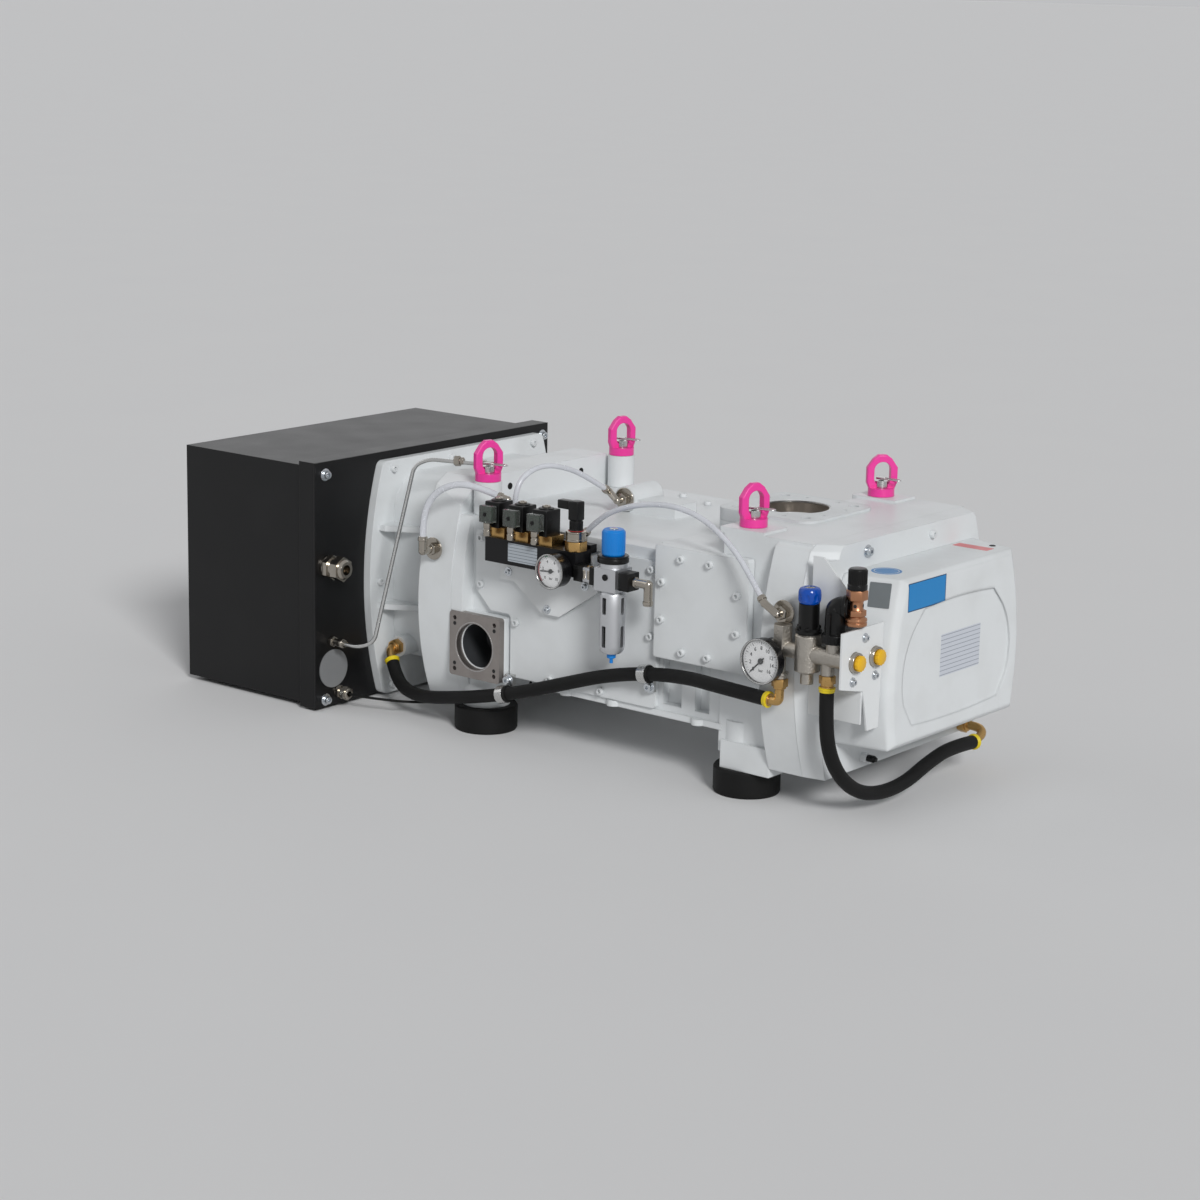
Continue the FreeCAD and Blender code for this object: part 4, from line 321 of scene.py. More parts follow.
# %% Hoses and leads
ROUTES = {
    "purge_hose_1": (10, "white_hose", "loose", [
        (-155, -236, 298), (-155, -236, 330), (-140, -232, 362), (-108, -225, 382),
        (-72, -214, 383), (-36, -204, 371)]),
    "purge_hose_2": (8, "white_hose", "loose", [
        (-7, -201, 340), (-7, -201, 378), (-4, -184, 404), (3, -148, 415), (11, -108, 407),
        (15, -66, 390), (20, -26, 366)]),
    "purge_hose_3": (8, "white_hose", "loose", [
        (132, -201, 343), (154, -202, 364), (192, -204, 384), (245, -207, 398),
        (297, -211, 402), (345, -215, 393), (385, -221, 374), (416, -228, 354),
        (442, -235, 331), (466, -241, 306)]),
    "cooling_hose_front": (20, "rubber_black", "hanging", [
        (-288, -160, 72), (-268, -171, 48), (-229, -188, 37), (-181, -200, 39),
        (-126, -207, 50), (-66, -212, 63), (-4, -214, 79), (54, -215, 97), (112, -214, 117),
        (175, -212, 138), (245, -211, 154), (322, -214, 163), (398, -236, 167),
        (484, -240, 165)]),
    "cooling_hose_rear": (20, "rubber_black", "hanging", [
        (579, -241, 198), (579, -241, 150), (580, -232, 106), (582, -206, 66), (584, -162, 36),
        (586, -108, 24), (588, -50, 27), (589, 4, 44), (590, 62, 55), (590, 126, 50)]),
    "sensor_cable": (4, "rubber_black", "loose", [
        (-316.5, -225, 24), (-290, -225, 24), (-200, -185, 22), (-140, -108, 30),
        (-80, -92, 36), (-60, -92, 62), (-60, -92, 85)]),
}


def line_length(curve_object):
    mesh = bpy.data.meshes.new_from_object(curve_object)
    spots = [v.co.copy() for v in mesh.vertices]
    bpy.data.meshes.remove(mesh)
    return sum((b - a).length for a, b in zip(spots, spots[1:]))


for name, (thick, finish, lay, points) in ROUTES.items():
    curve = bpy.data.curves.new(name + "_line", "CURVE")
    curve.dimensions = "3D"
    curve.resolution_u = 12
    spline = curve.splines.new("NURBS")
    spline.points.add(len(points) - 1)
    for spot, (x, y, z) in zip(spline.points, points):
        spot.co = (x * MM, y * MM, z * MM, 1)
    spline.order_u = 3
    spline.use_endpoint_u = True
    piece = bpy.data.objects.new(name + "_tube", curve)
    bpy.context.scene.collection.objects.link(piece)
    measured = line_length(piece)
    curve.bevel_depth = thick * MM / 2
    curve.bevel_resolution = 6
    curve.use_fill_caps = True
    curve.materials.append(FINISHES[finish])
    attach(piece, "pump")
    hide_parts(name)
    print(name, round(1000 * measured), "mm")

# %% [markdown]
# Nearly every new piece is modelled at the origin along the upward axis and is then put in its
# place, because it is far easier to work round an axis than beside one. The place goes into the
# mesh, so that the object itself stays unturned at the origin, as the solids are. All sizes
# below are in millimetres.


# %% Starting a piece, placing it and finishing it
def clear():
    bpy.ops.object.select_all(action="DESELECT")


def seat(at, toward=(0, 0, 1)):
    """The place of a piece that was modelled at the origin along the upward axis."""
    out = Vector(toward).normalized()
    upward = Vector((0, 1, 0)) if abs(out.z) > 0.9 else Vector((0, 0, 1))
    side = upward.cross(out).normalized()
    turned_frame = Matrix((side, out.cross(side), out)).transposed().to_4x4()
    return Matrix.Translation(Vector(at) * MM) @ turned_frame


def pick(piece):
    clear()
    piece.select_set(True)
    bpy.context.view_layer.objects.active = piece


def apply_modifier(piece, kind, **settings):
    pick(piece)
    made = piece.modifiers.new(kind.lower(), kind)
    for key, setting in settings.items():
        setattr(made, key, setting)
    bpy.ops.object.modifier_apply(modifier=made.name)


def soften(piece, width, rounds=2, sharp=35):
    """Round the edges that turn more than the given angle, then shade the rest smooth."""
    if width:
        apply_modifier(piece, "BEVEL", width=width * MM, segments=rounds, limit_method="ANGLE",
                       angle_limit=math.radians(sharp))
    pick(piece)
    bpy.ops.object.shade_smooth_by_angle(angle=math.radians(sharp))
    return piece


def moved(piece, place):
    piece.data.transform(place)
    return piece


def raised(piece, height):
    return moved(piece, Matrix.Translation((0, 0, height * MM)))


def spun(count, shift=0.0):
    """The turns that set a number of copies evenly round the upward axis."""
    return [Matrix.Rotation(math.radians(360 / count * k + shift), 4, "Z") for k in range(count)]


PIECES = []


def finished(piece, name, finish, place=None, body="pump", slot=None, stands_for=()):
    if place is not None:
        moved(piece, place)
    piece.name = piece.data.name = name
    piece.data.materials.clear()
    piece.data.materials.append(FINISHES[finish])
    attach(piece, body)
    if stands_for:
        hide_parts(*stands_for)
    PIECES.append(piece)


print("helpers ready")

# %% [markdown]
# Nearly every fitting on this machine is turned on a lathe or drawn from a square bar. For the
# turned ones a disc is extruded along its axis in steps and scaled at each step, which is how
# a lathe profile is built by hand. The square ones start from a cube whose edges are beveled.
# What repeats is modelled once, and each copy gets its own mesh before they are joined.


# %% Turned pieces, blocks, hexagons and copies
def turned(profile, sides=40, edge=0.0):
    radius, height = profile[0]
    clear()
    bpy.ops.mesh.primitive_circle_add(vertices=sides, radius=radius * MM, fill_type="NGON")
    bpy.ops.object.mode_set(mode="EDIT")
    bpy.ops.transform.translate(value=(0, 0, height * MM))
    for wide, far in profile[1:]:
        bpy.ops.mesh.extrude_region_move(
            TRANSFORM_OT_translate={"value": (0, 0, (far - height) * MM)})
        bpy.ops.transform.resize(value=(wide / radius, wide / radius, 1),
                                 center_override=(0, 0, 0))
        radius, height = wide, far
    bpy.ops.mesh.select_all(action="SELECT")
    bpy.ops.mesh.normals_make_consistent(inside=False)
    bpy.ops.object.mode_set(mode="OBJECT")
    return soften(bpy.context.active_object, edge)


def boxed(low, high, edge=0.6, rounds=2):
    clear()
    bpy.ops.mesh.primitive_cube_add(
        size=1, location=[(a + b) / 2 * MM for a, b in zip(low, high)],
        scale=[(b - a) * MM for a, b in zip(low, high)])
    bpy.ops.object.transform_apply(location=True, rotation=True, scale=True)
    return soften(bpy.context.active_object, edge, rounds)


def hexed(flats, height, chamfer=0.8, bottom=0.0):
    """A hexagon nut with its edges rounded."""
    clear()
    bpy.ops.mesh.primitive_cylinder_add(vertices=6, radius=flats / math.sqrt(3) * MM,
                                        depth=height * MM,
                                        location=(0, 0, (bottom + height / 2) * MM))
    bpy.ops.object.transform_apply(location=True)
    return soften(bpy.context.active_object, chamfer * 0.5)


def minus(piece, cutter):
    """Cut the second piece out of the first one and remove it."""
    apply_modifier(piece, "BOOLEAN", operation="DIFFERENCE", object=cutter, solver="EXACT")
    bpy.data.objects.remove(cutter)
    return piece


def joined(*pieces):
    clear()
    for piece in pieces:
        piece.select_set(True)
    bpy.context.view_layer.objects.active = pieces[0]
    bpy.ops.object.join()
    return pieces[0]


def repeated(model, places):
    """One copy of the model at each place, each with its own mesh, joined to one piece."""
    copies = []
    for place in places:
        twin = model.copy()
        twin.data = model.data.copy()
        bpy.context.scene.collection.objects.link(moved(twin, place))
        copies.append(twin)
    bpy.data.objects.remove(model)
    return joined(*copies)


print("lathe, block, nut and copies ready")

# %% [markdown]
# A cap screw is a short cylinder with a hexagon socket. The covers are held by painted ones,
# because the body was sprayed after it was assembled. The screws of the black box and of the
# brackets are bright zinc on washers.


# %% Cap screws
WASHER = 1.4
RIGHT, NEAR = (1, 0, 0), (0, -1, 0)


def cap_screw(radius, head, key, washer=0.0):
    foot = WASHER if washer else 0.0
    screw = turned([(radius, foot), (radius, foot + head)], 32, 0.5)
    minus(screw, hexed(key, head, 0, foot + head * 0.4))
    if washer:
        screw = joined(screw, turned([(washer, 0), (washer, WASHER)], 32, 0.4))
    return soften(screw, 0)


SIDE_COVER_SCREWS = ((-74, 302), (-74, 232), (-5, 184), (61, 109), (157, 109), (245, 302),
                     (245, 205))
SERVICE_SCREWS = ((304, 327), (354, 327), (402, 290), (402, 236), (354, 194), (309, 194),
                  (271, 236), (271, 290))
BELL_SCREWS = ((-116, 363), (19.5, 363), (85, 363), (218, 363), (-146, 188), (252, 188),
               (-119, 18.5), (225, 18.5))
TOP_SCREWS = ((34, 152), (100, 127), (180, 150))
painted = [((x, side * 195, z), (0, side, 0)) for x, z in SIDE_COVER_SCREWS for side in (-1, 1)]
painted += [((x, -205, z), NEAR) for x, z in SERVICE_SCREWS]
painted += [((-328.5, y, z), RIGHT) for y, z in BELL_SCREWS]
painted += [((547, 54, 360), RIGHT)]
painted += [((x, y, 330), (0, 0, 1)) for x, y in TOP_SCREWS]
box = [((-342.5, y, z), RIGHT) for y in (-251.5, 258.5) for z in (16, 368.7)]
bright = [((547, -108, 360), RIGHT), ((-12, -203.7, 97), NEAR), ((250, -200.8, 133), NEAR)]
small = [((x, -204, z), NEAR) for x, z in ((-14, 261), (131, 261), (61, 216))]
small += [((620, y, z), RIGHT) for y, z in ((-217, 270), (-243, 214), (-190, 214))]
small += [((560, -218, 172), NEAR)]
finished(repeated(cap_screw(5.6, 6, 5), [seat(*spot) for spot in painted]), "painted_screws",
         "body_paint", stands_for=["housing_screws"])
for name, sizes, spots in (("box_screws", (6, 7, 5.5, 9.6), box),
                           ("zinc_screws", (6, 6, 5, 9), bright),
                           ("bracket_screws", (4, 4, 3.5, 6.5), small)):
    finished(repeated(cap_screw(*sizes), [seat(*spot) for spot in spots]), name, "zinc",
             slot="steel")
print("screws:", len(painted + box + bright + small))

# %% [markdown]
# Each lifting eye is a forged ring that swivels on its bolt. A flat loop of bright wire, the
# key that turns the bolt, lies through the hole. A loop like that is a curve with a round
# bevel, closed to a long oval, and made a mesh.

# %% Key loops in the lifting eyes
EYES = ((-95, -159, 14), (-95, 159, 14), (391.8, -159, 14), (391.8, 159, 4))
KEY_HEIGHT = 405.5


def wire_loop(points, wire, closed=True):
    curve = bpy.data.curves.new("wire", "CURVE")
    curve.dimensions = "3D"
    line = curve.splines.new("NURBS")
    line.points.add(len(points) - 1)
    for spot, point in zip(line.points, points):
        spot.co = (*[v * MM for v in point], 1)
    line.order_u = 4
    line.use_cyclic_u = closed
    line.use_endpoint_u = not closed
    curve.bevel_depth = wire * MM
    curve.bevel_resolution = 4
    curve.use_fill_caps = not closed
    shaped = bpy.data.objects.new("wire", curve)
    bpy.context.scene.collection.objects.link(shaped)
    pick(shaped)
    bpy.ops.object.convert(target="MESH")
    bpy.ops.object.shade_smooth()
    return bpy.context.active_object


for number, (x, y, heading) in enumerate(EYES, 1):
    loop = wire_loop([(-7, 0, 0), (-7, 3.6, 0), (2, 4.2, 0), (17, 4.2, 0), (28, 4.6, 0),
                      (33, 0, 0), (28, -4.6, 0), (17, -4.2, 0), (2, -4.2, 0), (-7, -3.6, 0)], 1.1)
    bar = boxed((-7, -4, -1.6), (6, 4, 1.6))
    place = seat((x, y, KEY_HEIGHT)) @ Matrix.Rotation(math.radians(heading), 4, "Z")
    finished(joined(loop, bar), f"eye_{number}_key", "steel", place, f"eye_{number}")
print("eye keys:", len(EYES))

# %% [markdown]
# A pressure gauge is a black cup with a polished rim, a white dial, black marks and a clear
# glass. The marks are one thin bar, copied round the dial. The numbers are text, which is made
# a mesh before it is placed. The glass is mostly see-through, so only its gloss is seen.


# %% Gauge dials
def thicken(thick):
    """Draw the flat piece that is being edited out into a sheet."""
    bpy.ops.mesh.select_all(action="SELECT")
    bpy.ops.mesh.extrude_region_move(TRANSFORM_OT_translate={"value": (0, 0, thick * MM)})
    bpy.ops.mesh.select_all(action="SELECT")
    bpy.ops.mesh.normals_make_consistent(inside=False)
    bpy.ops.object.mode_set(mode="OBJECT")


def ring_plate(outer, inner, thick, first=0, last=360, sides=96):
    """A flat ring, or the part of it between two angles, counted clockwise from the top."""
    clear()
    bpy.ops.mesh.primitive_circle_add(vertices=sides, radius=outer * MM, fill_type="NOTHING")
    bpy.ops.object.mode_set(mode="EDIT")
    bpy.ops.mesh.select_all(action="SELECT")
    bpy.ops.mesh.extrude_edges_move()
    bpy.ops.transform.resize(value=(inner / outer, inner / outer, 1), center_override=(0, 0, 0))
    bpy.ops.mesh.select_mode(type="FACE")
    bpy.ops.object.mode_set(mode="OBJECT")
    piece = bpy.context.active_object
    for face in piece.data.polygons:
        angle = math.degrees(math.atan2(face.center.x, face.center.y)) % 360
        face.select = not first <= angle <= last
    bpy.ops.object.mode_set(mode="EDIT")
    bpy.ops.mesh.delete(type="FACE")
    thicken(thick)
    return piece


def lettered(text, height, at):
    clear()
    bpy.ops.object.text_add()
    words = bpy.context.active_object.data
    words.body, words.size = text, height * MM
    words.align_x = words.align_y = "CENTER"
    words.extrude, words.offset, words.resolution_u = 0.03 * MM, height * 0.02 * MM, 3
    bpy.ops.object.convert(target="MESH")
    return moved(bpy.context.active_object, Matrix.Translation(Vector(at) * MM))


def wire_ring(radius, wire, sides=72):
    clear()
    bpy.ops.mesh.primitive_torus_add(major_radius=radius * MM, minor_radius=wire * MM,
                                     major_segments=sides, minor_segments=10)
    bpy.ops.object.shade_smooth()
    return bpy.context.active_object


PAPER = -4.68


def gauge_face(name, radius, at, numbers, steps, bands=(), sweep=270):
    """Heights count from the front of the rim, so the dial's paper lies behind it."""
    place = seat(at, NEAR)
    paper = turned([(radius - 2.2, -5), (radius - 2.2, PAPER)], 64)
    finished(paper, name + "_dial", "dial_white", place, slot="gauge_case")
    marks = []
    for step in range(steps + 1):
        long = step % (steps // (len(numbers) - 1)) == 0
        half = 0.2 + 0.2 * long
        mark = boxed((-half, radius * (0.73 if long else 0.79), PAPER - 0.02),
                     (half, radius * 0.86, PAPER + 0.06), 0)
        angle = math.radians(-sweep / 2 + sweep * step / steps)
        marks.append(moved(mark, Matrix.Rotation(-angle, 4, "Z")))
    for index, number in enumerate(numbers):
        angle = math.radians(-sweep / 2 + sweep * index / (len(numbers) - 1))
        marks.append(lettered(number, radius * 0.23, (
            radius * 0.57 * math.sin(angle), radius * 0.57 * math.cos(angle), PAPER + 0.04)))
    marks.append(lettered("bar", radius * 0.18, (0, -radius * 0.42, PAPER + 0.04)))
    finished(joined(*marks), name + "_marks", "mark_black", place, slot="pointer_black")
    for colour, start, stop in bands:
        band = ring_plate(radius * 0.905, radius * 0.845, 0.06, start, stop)
        raised(band, PAPER - 0.01)
        finished(band, f"{name}_{colour}_band", "mark_" + colour, place, slot="pointer_black")
    finished(raised(wire_ring(radius - 1.1, 1.2), -0.9), name + "_rim", "steel", place)
    glass = turned([(radius - 2.1, -1.9), (radius - 2.1, -1.2), (radius - 3.5, -0.9)], 64)
    finished(glass, name + "_glass", "gauge_glass", place, slot="gauge_case")


gauge_face("purge_gauge", 25.5, (115, -267, 290), [str(n) for n in range(0, 11, 2)], 40,
           (("red", 225, 300), ("green", 330, 345)))
gauge_face("water_gauge", 31.5, (488, -271, 224), [str(n) for n in range(0, 17, 2)], 32)
print("gauges:", [p.name for p in PIECES if "gauge" in p.name])

# %% [markdown]
# Three solenoid valves stand on the purge manifold. Each coil is a black block with a plated
# nut on top, and its plug is a smoky clear box with a screw through it, a green circuit
# inside, and a plated cable nut below. Between coil and manifold there is a slice of brass.

# %% Valve coils and their plugs
COILS, COIL_FOOT = (-15, 30, 75), 332


def on_coils(model, y, name, finish, **more):
    finished(repeated(model, [seat((x, y, COIL_FOOT)) for x in COILS]), name, finish, **more)


coil = joined(boxed((-13.5, -16, 0), (13.5, 16, 38), 1.6, 3),
              turned([(11.5, 38), (11.5, 39.2), (10.5, 39.8), (7, 40)], 40, 0.3))
on_coils(coil, -226, "coil_blocks", "black_plastic", stands_for=["solenoid_coils"])
nut = joined(hexed(11, 3.2, 0.8, 39.8), turned([(2.6, 43), (2.6, 43.8), (1.9, 44)], 20))
on_coils(nut, -226, "coil_nuts", "nickel")
on_coils(boxed((-11.5, -15.5, 9), (11.5, -1.6, 34), 1.6, 3), -242, "coil_plug_shells",
         "smoke_plastic", stands_for=["coil_plugs"])
plug_screw = moved(turned([(3.1, -16.6), (3.1, -15.3)], 24, 0.3),
                   Matrix.Rotation(math.radians(-90), 4, "X"))
base = joined(boxed((-12, -1.6, 8), (12, 0, 34.6), 0.5), raised(plug_screw, 21.5))
on_coils(base, -242, "coil_plug_bases", "black_plastic")
board = joined(boxed((-8.5, -10, 12), (8.5, -9, 31), 0.2),
               boxed((-6, -13, 14), (-1, -10, 20), 0.3),
               boxed((2, -12.5, 24), (7, -10, 28), 0.3))
on_coils(board, -242, "coil_plug_boards", "circuit_green", slot="black_plastic")
cable_nut = turned([(4.5, -11), (6.5, -10.4), (6.5, -2), (5.7, -1.6), (5.7, 0.4), (6.5, 0.8),
                    (6.5, 8.6), (5, 9)], 24, 0.2)
on_coils(cable_nut, -250.5, "coil_plug_nuts", "nickel")
print("valves:", len(COILS))

# %% [markdown]
# Beside the valves stands a pressure switch: a brass hexagon, a bright can with a crimped rim,
# a red seal, a ribbed black collar and an angle plug that points back over the valves. They
# are separate pieces here because each has its own finish.

# %% Pressure switch
switch_at = seat((133, -229, 318))
finished(hexed(28, 14, 1.6), "switch_hexagon", "brass", switch_at,
         stands_for=["pressure_switch"])
finished(turned([(13.4, 14), (14.8, 14.6), (14.8, 17), (14.2, 17.4), (14.2, 26), (15, 26.6),
                 (15, 28.4), (13.2, 29)], 48), "switch_can", "nickel", switch_at)
finished(turned([(11.6, 28.9), (11.6, 29.6), (10, 29.8)], 40, 0.2), "switch_seal", "mark_red",
         switch_at, slot="black_plastic")
ribs = repeated(boxed((8.4, -0.8, 30), (9.8, 0.8, 43), 0.3), spun(18))
angle_plug = joined(turned([(11, 29.4), (9, 31.4), (9, 43.4), (8.2, 44)], 40, 0.4), ribs,
                    boxed((-9, -8.4, 44), (8.6, 8.4, 71.6), 2.0, 3),
                    boxed((-30.4, -6.4, 58.4), (-8, 6.4, 70.8), 1.4, 3),
                    turned([(7.4, 71), (7.4, 71.9), (6.6, 72)], 32))
finished(angle_plug, "switch_plug", "black_plastic", switch_at)
print("switch made of", sum("switch" in p.name for p in PIECES), "pieces")

# %% [markdown]
# The filter regulator has a die-cast head with a black plug in front and a blue knob on top.
# Its bowl guard is a tube with tall windows in two rows, through which a black inner bowl
# shows, painted shade for the dark inside of the guard. The windows are cut with a Boolean,
# which leaves real edges for the light.

# %% Filter regulator
regulator_at = seat((207, -236, 273.5))
guard = turned([(14, -91), (17.6, -87), (19, -79), (19, -24), (19, -6), (18.2, -4), (16.2, 0)],
               64, 0.5)
for quarter in spun(4):
    for bottom, top in ((-81, -50), (-33, -9)):
        minus(guard, moved(boxed((12, -3.4, bottom), (24, 3.4, top), 1.2), quarter))
finished(soften(guard, 0), "bowl_guard", "silver_cast", regulator_at,
         stands_for=["filter_bowl"])
on_filter = {"finish": "black_plastic", "slot": "silver_cast"}
# The inner bowl is black: painted shade seen through the guard's windows.
finished(turned([(12.5, -90), (14.6, -84), (14.6, -4), (12, -2)], 48), "inner_bowl_shade",
         place=regulator_at, **on_filter)
finished(turned([(20.7, 39.6), (22.6, 40.6), (22.6, 46), (21.9, 46.6), (21.9, 48.4), (22.6, 49),
                 (21.4, 50.4), (17.2, 50.6)], 64, 0.3), "filter_collar", place=regulator_at,
         **on_filter)
finished(turned([(4.6, 0), (4.6, 1.2), (3.8, 1.6), (3.8, 0.8)], 32), "filter_gauge_plug",
         place=seat((208, -255, 294), NEAR), **on_filter)
finished(boxed((226.2, -249, 277), (244.2, -223, 303), 1.2), "filter_side_block", **on_filter)
finished(joined(boxed((174, -249, 277.5), (188.3, -223.5, 302.5), 1.0),
                boxed((143.8, -247.5, 278.6), (160, -224.5, 301.5), 1.0)),
         "filter_link_block", **on_filter)
finished(turned([(10.8, 0), (12.2, 0.6), (12.2, 5), (11.4, 5.4), (11.4, 8), (12.2, 8.4),
                 (12.2, 13.4), (11, 14)], 6, 0.6), "filter_link_nut", "nickel",
         seat((160, -236, 290), RIGHT))
finished(turned([(6.2, 0), (6.2, 0.9), (5.2, 1.4)], 32), "knob_top_screw", "steel",
         seat((207, -236, 360.6)), "regulator")
finished(repeated(boxed((15.9, -0.35, 6), (16.75, 0.35, 33), 0.2), spun(30)), "knob_ribs",
         "knob_blue", seat((207, -236, 324.3)), "regulator")
print("filter pieces:", [p.name for p in PIECES[-8:]])

# %% [markdown]
# On the water side the thermostat is a black neck with a fluted blue cap, whose flutes are
# shallow hollows pressed in by a sphere. The safety valve's black cap is knurled: thirty small
# ribs stand round a sleeve. Two plated sockets with yellow caps close the ports.


# %% Thermostat, safety cap and port caps
def ball(at, radius, stretch=1.0, segments=24, rings=14):
    clear()
    bpy.ops.mesh.primitive_uv_sphere_add(segments=segments, ring_count=rings, radius=radius * MM,
                                         location=[v * MM for v in at], scale=(1, 1, stretch))
    bpy.ops.object.transform_apply(location=True, rotation=True, scale=True)
    bpy.ops.object.shade_smooth()
    return bpy.context.active_object


def dimpled(piece, radius, height, count, size, depth):
    reach = radius + size - depth
    for k in range(count):
        angle = 2 * math.pi * (k + 0.5) / count
        hollow = ball((reach * math.cos(angle), reach * math.sin(angle), height), size,
                      stretch=1.5, segments=16, rings=10)
        minus(piece, hollow)
    return soften(piece, 0, sharp=30)


thermostat_at = seat((546, -241, 309.3))
cap = turned([(13.2, 0.2), (14.6, 2), (15.5, 5), (15.5, 15), (14.9, 18), (13.2, 20.6),
              (10.4, 21.8), (7.6, 22), (7.2, 21)], 64)
finished(dimpled(cap, 15.4, 8.5, 8, 5.5, 1.5), "thermostat_cap", "knob_navy", thermostat_at,
         "thermostat", stands_for=["thermostat_knob"])
finished(turned([(7.1, 20.6), (7.1, 21.2), (6, 21.6), (3, 21.8)], 40, 0.2),
         "thermostat_button", "nickel", thermostat_at, "thermostat")
collar = joined(turned([(17.8, 0), (17.8, 3.4), (16.6, 4.4), (15.2, 5.4), (14.1, 6.2)], 56, 0.3),
                repeated(boxed((13.4, -2.2, 5), (17.4, 2.2, 9)), spun(6)))
finished(collar, "thermostat_collar", "black_plastic", seat((546, -241, 269.2)))
knurled = joined(turned([(13.4, 0.2), (13.4, 6.4), (12.2, 7.4), (12.2, 27), (11.2, 28.4),
                         (9, 28.9)], 48, 0.2),
                 repeated(boxed((11.7, -0.5, 8), (12.9, 0.5, 26.4), 0.2), spun(30)),
                 raised(wire_ring(12.6, 0.8, 48), 3.4))
finished(knurled, "safety_cap", "black_plastic", seat((615, -232, 337.3)), "test_cap",
         stands_for=["valve_cap"])
ports = [seat((620, y, 240), RIGHT) for y in (-239, -191)]
socket = joined(turned([(14, 0), (14, 5.6), (13.2, 6.4), (10.6, 6.6)], 40, 0.2),
                wire_ring(14, 0.6, 40))
finished(repeated(socket, ports), "port_sockets", "nickel", stands_for=["port_plugs"])
yellow = joined(turned([(10.2, 6), (10.4, 8), (10.2, 11.4), (9, 12.2)], 40, 0.3),
                repeated(boxed((9.7, -1, 6.6), (10.9, 1, 11.6), 0.4), spun(12)))
finished(repeated(yellow, ports), "port_caps", "plug_yellow")
print("water pieces:", len(PIECES))

# %% [markdown]
# Each rubber hose ends in a yellow ring over its brass tail. The ring is a short turned sleeve
# that lies along the hose's last run. Two clamps with a black rubber lining hold the long hose
# to the body: the lining stands out a little on both sides of the bright band.

# %% Rings and clamp linings on the hoses
sleeves = []
for name in ("cooling_hose_front", "cooling_hose_rear"):
    route = ROUTES[name][3]
    for end, follower in ((0, 1), (-1, -2)):
        sleeves.append(seat(route[end], Vector(route[follower]) - Vector(route[end])))
sleeve = turned([(10.4, -1.6), (11.6, -1), (11.6, 1), (10.9, 1.8), (10.9, 4.4), (10.3, 5)], 48)
finished(repeated(sleeve, sleeves), "hose_rings", "ring_yellow", slot="plug_yellow")
linings = [seat((-12, -213.7, 76.9), (62, -2, 17)), seat((250, -211.1, 153.4), (74, -2, 11))]
lining = turned([(11.4, -9.4), (12.6, -8.8), (12.9, -7.2), (12.2, -6.4), (12.2, 6.4),
                 (12.9, 7.2), (12.6, 8.8), (11.4, 9.4)], 48)
finished(repeated(lining, linings), "clamp_linings", "rubber_black")
print("hose rings:", len(sleeves), "linings:", len(linings))

# %% [markdown]
# The type plates and stickers of such a machine are left blank here, but they keep their
# places: a silver one on the manifold, a large plate in the cover's recess, and a round sticker
# and a red strip on top. Fine ruled lines in the finish stand for rows of print. A sticker is a
# thin block with rounded corners, a tenth of a millimetre or two off the paint.


# %% Blank plates and stickers
def ruled(name, colour, ink, pitch, line):
    """A plain plate with thin ruled lines and no words."""
    made = Finish(name)
    height = made.axes()[2] * (1000 / pitch)
    lines = 1 - height.maths("FRACT", height, 0).above(line)
    made.close(Base_Color=made.blend(lines, colour, ink), Roughness=0.34 + 0.1 * lines,
               Normal=made.relief(made.clouds(300), 0.00001))


ruled("ruled_white", (0.60, 0.63, 0.69), (0.26, 0.29, 0.34), 6.2, 0.15)
ruled("ruled_silver", (0.42, 0.46, 0.50), (0.12, 0.14, 0.16), 4.6, 0.16)


def sticker(wide, high, thick=0.25, corner=1.2):
    clear()
    bpy.ops.mesh.primitive_plane_add(size=1)
    piece = moved(bpy.context.active_object, Matrix.Diagonal((wide * MM, high * MM, 1, 1)))
    bpy.ops.object.mode_set(mode="EDIT")
    bpy.ops.mesh.select_all(action="SELECT")
    bpy.ops.mesh.bevel(affect="VERTICES", offset=corner * MM, segments=4)
    thicken(thick)
    return piece


finished(sticker(55, 27), "manifold_plate", "ruled_silver", seat((45.4, -243, 301.2), NEAR),
         slot="steel")
finished(sticker(102, 60), "type_plate", "ruled_white", seat((629.5, 10, 214.5), RIGHT),
         slot="white_sheet")
finished(sticker(57, 20), "red_strip", "label_red", seat((582, 110, 338)), slot="white_sheet")
finished(turned([(21, 0), (21, 0.25)], 56), "round_sticker", "label_blue",
         seat((582, -112, 338)), slot="knob_blue")
finished(ring_plate(17.5, 16.5, 0.1), "round_sticker_line", "white_sheet",
         seat((582, -112, 338.2)))
print("plates and stickers made")

# %% [markdown]
# The inlet is screened by woven wire, with a dark seal round it. The weave is far finer than
# the picture shows, so it goes into the finish: two crossing waves, squeezed until only the
# wires stand out. The same weave, browner and finer, is for the sleeve above the screen.

# %% Inlet screen and seal
INLET = (350.8, 0)


def woven(name, ways, wire, scale):
    weave = Finish(name)
    first, second = [
        weave.add("ShaderNodeTexWave", {"bands_direction": way, "wave_profile": "SIN"},
                  {"Vector": weave.place, "Scale": scale}, "Fac") for way in ways]
    wires = weave.ramp(first.maths("MAXIMUM", first, second), 0.55, 0.85)
    weave.close(Base_Color=weave.blend(wires, (0.03, 0.03, 0.03), wire), Metallic=0.8,
                Roughness=0.5 - 0.15 * wires, Normal=weave.relief(wires, 0.0004))


woven("woven_wire", ("X", "Y"), (0.55, 0.53, 0.50), 140)
woven("woven_wall", ("Z", "DIAGONAL"), (0.34, 0.29, 0.24), 200)
finished(turned([(44.2, 0), (44.2, 0.5), (30, 2.2), (12, 3.2)], 64), "inlet_screen",
         "woven_wire", seat((*INLET, 352.5)), slot="steel")
finished(wire_ring(48.6, 1.9), "inlet_seal", "rubber_black", seat((*INLET, 358.6)))
print("inlet screen and seal made")

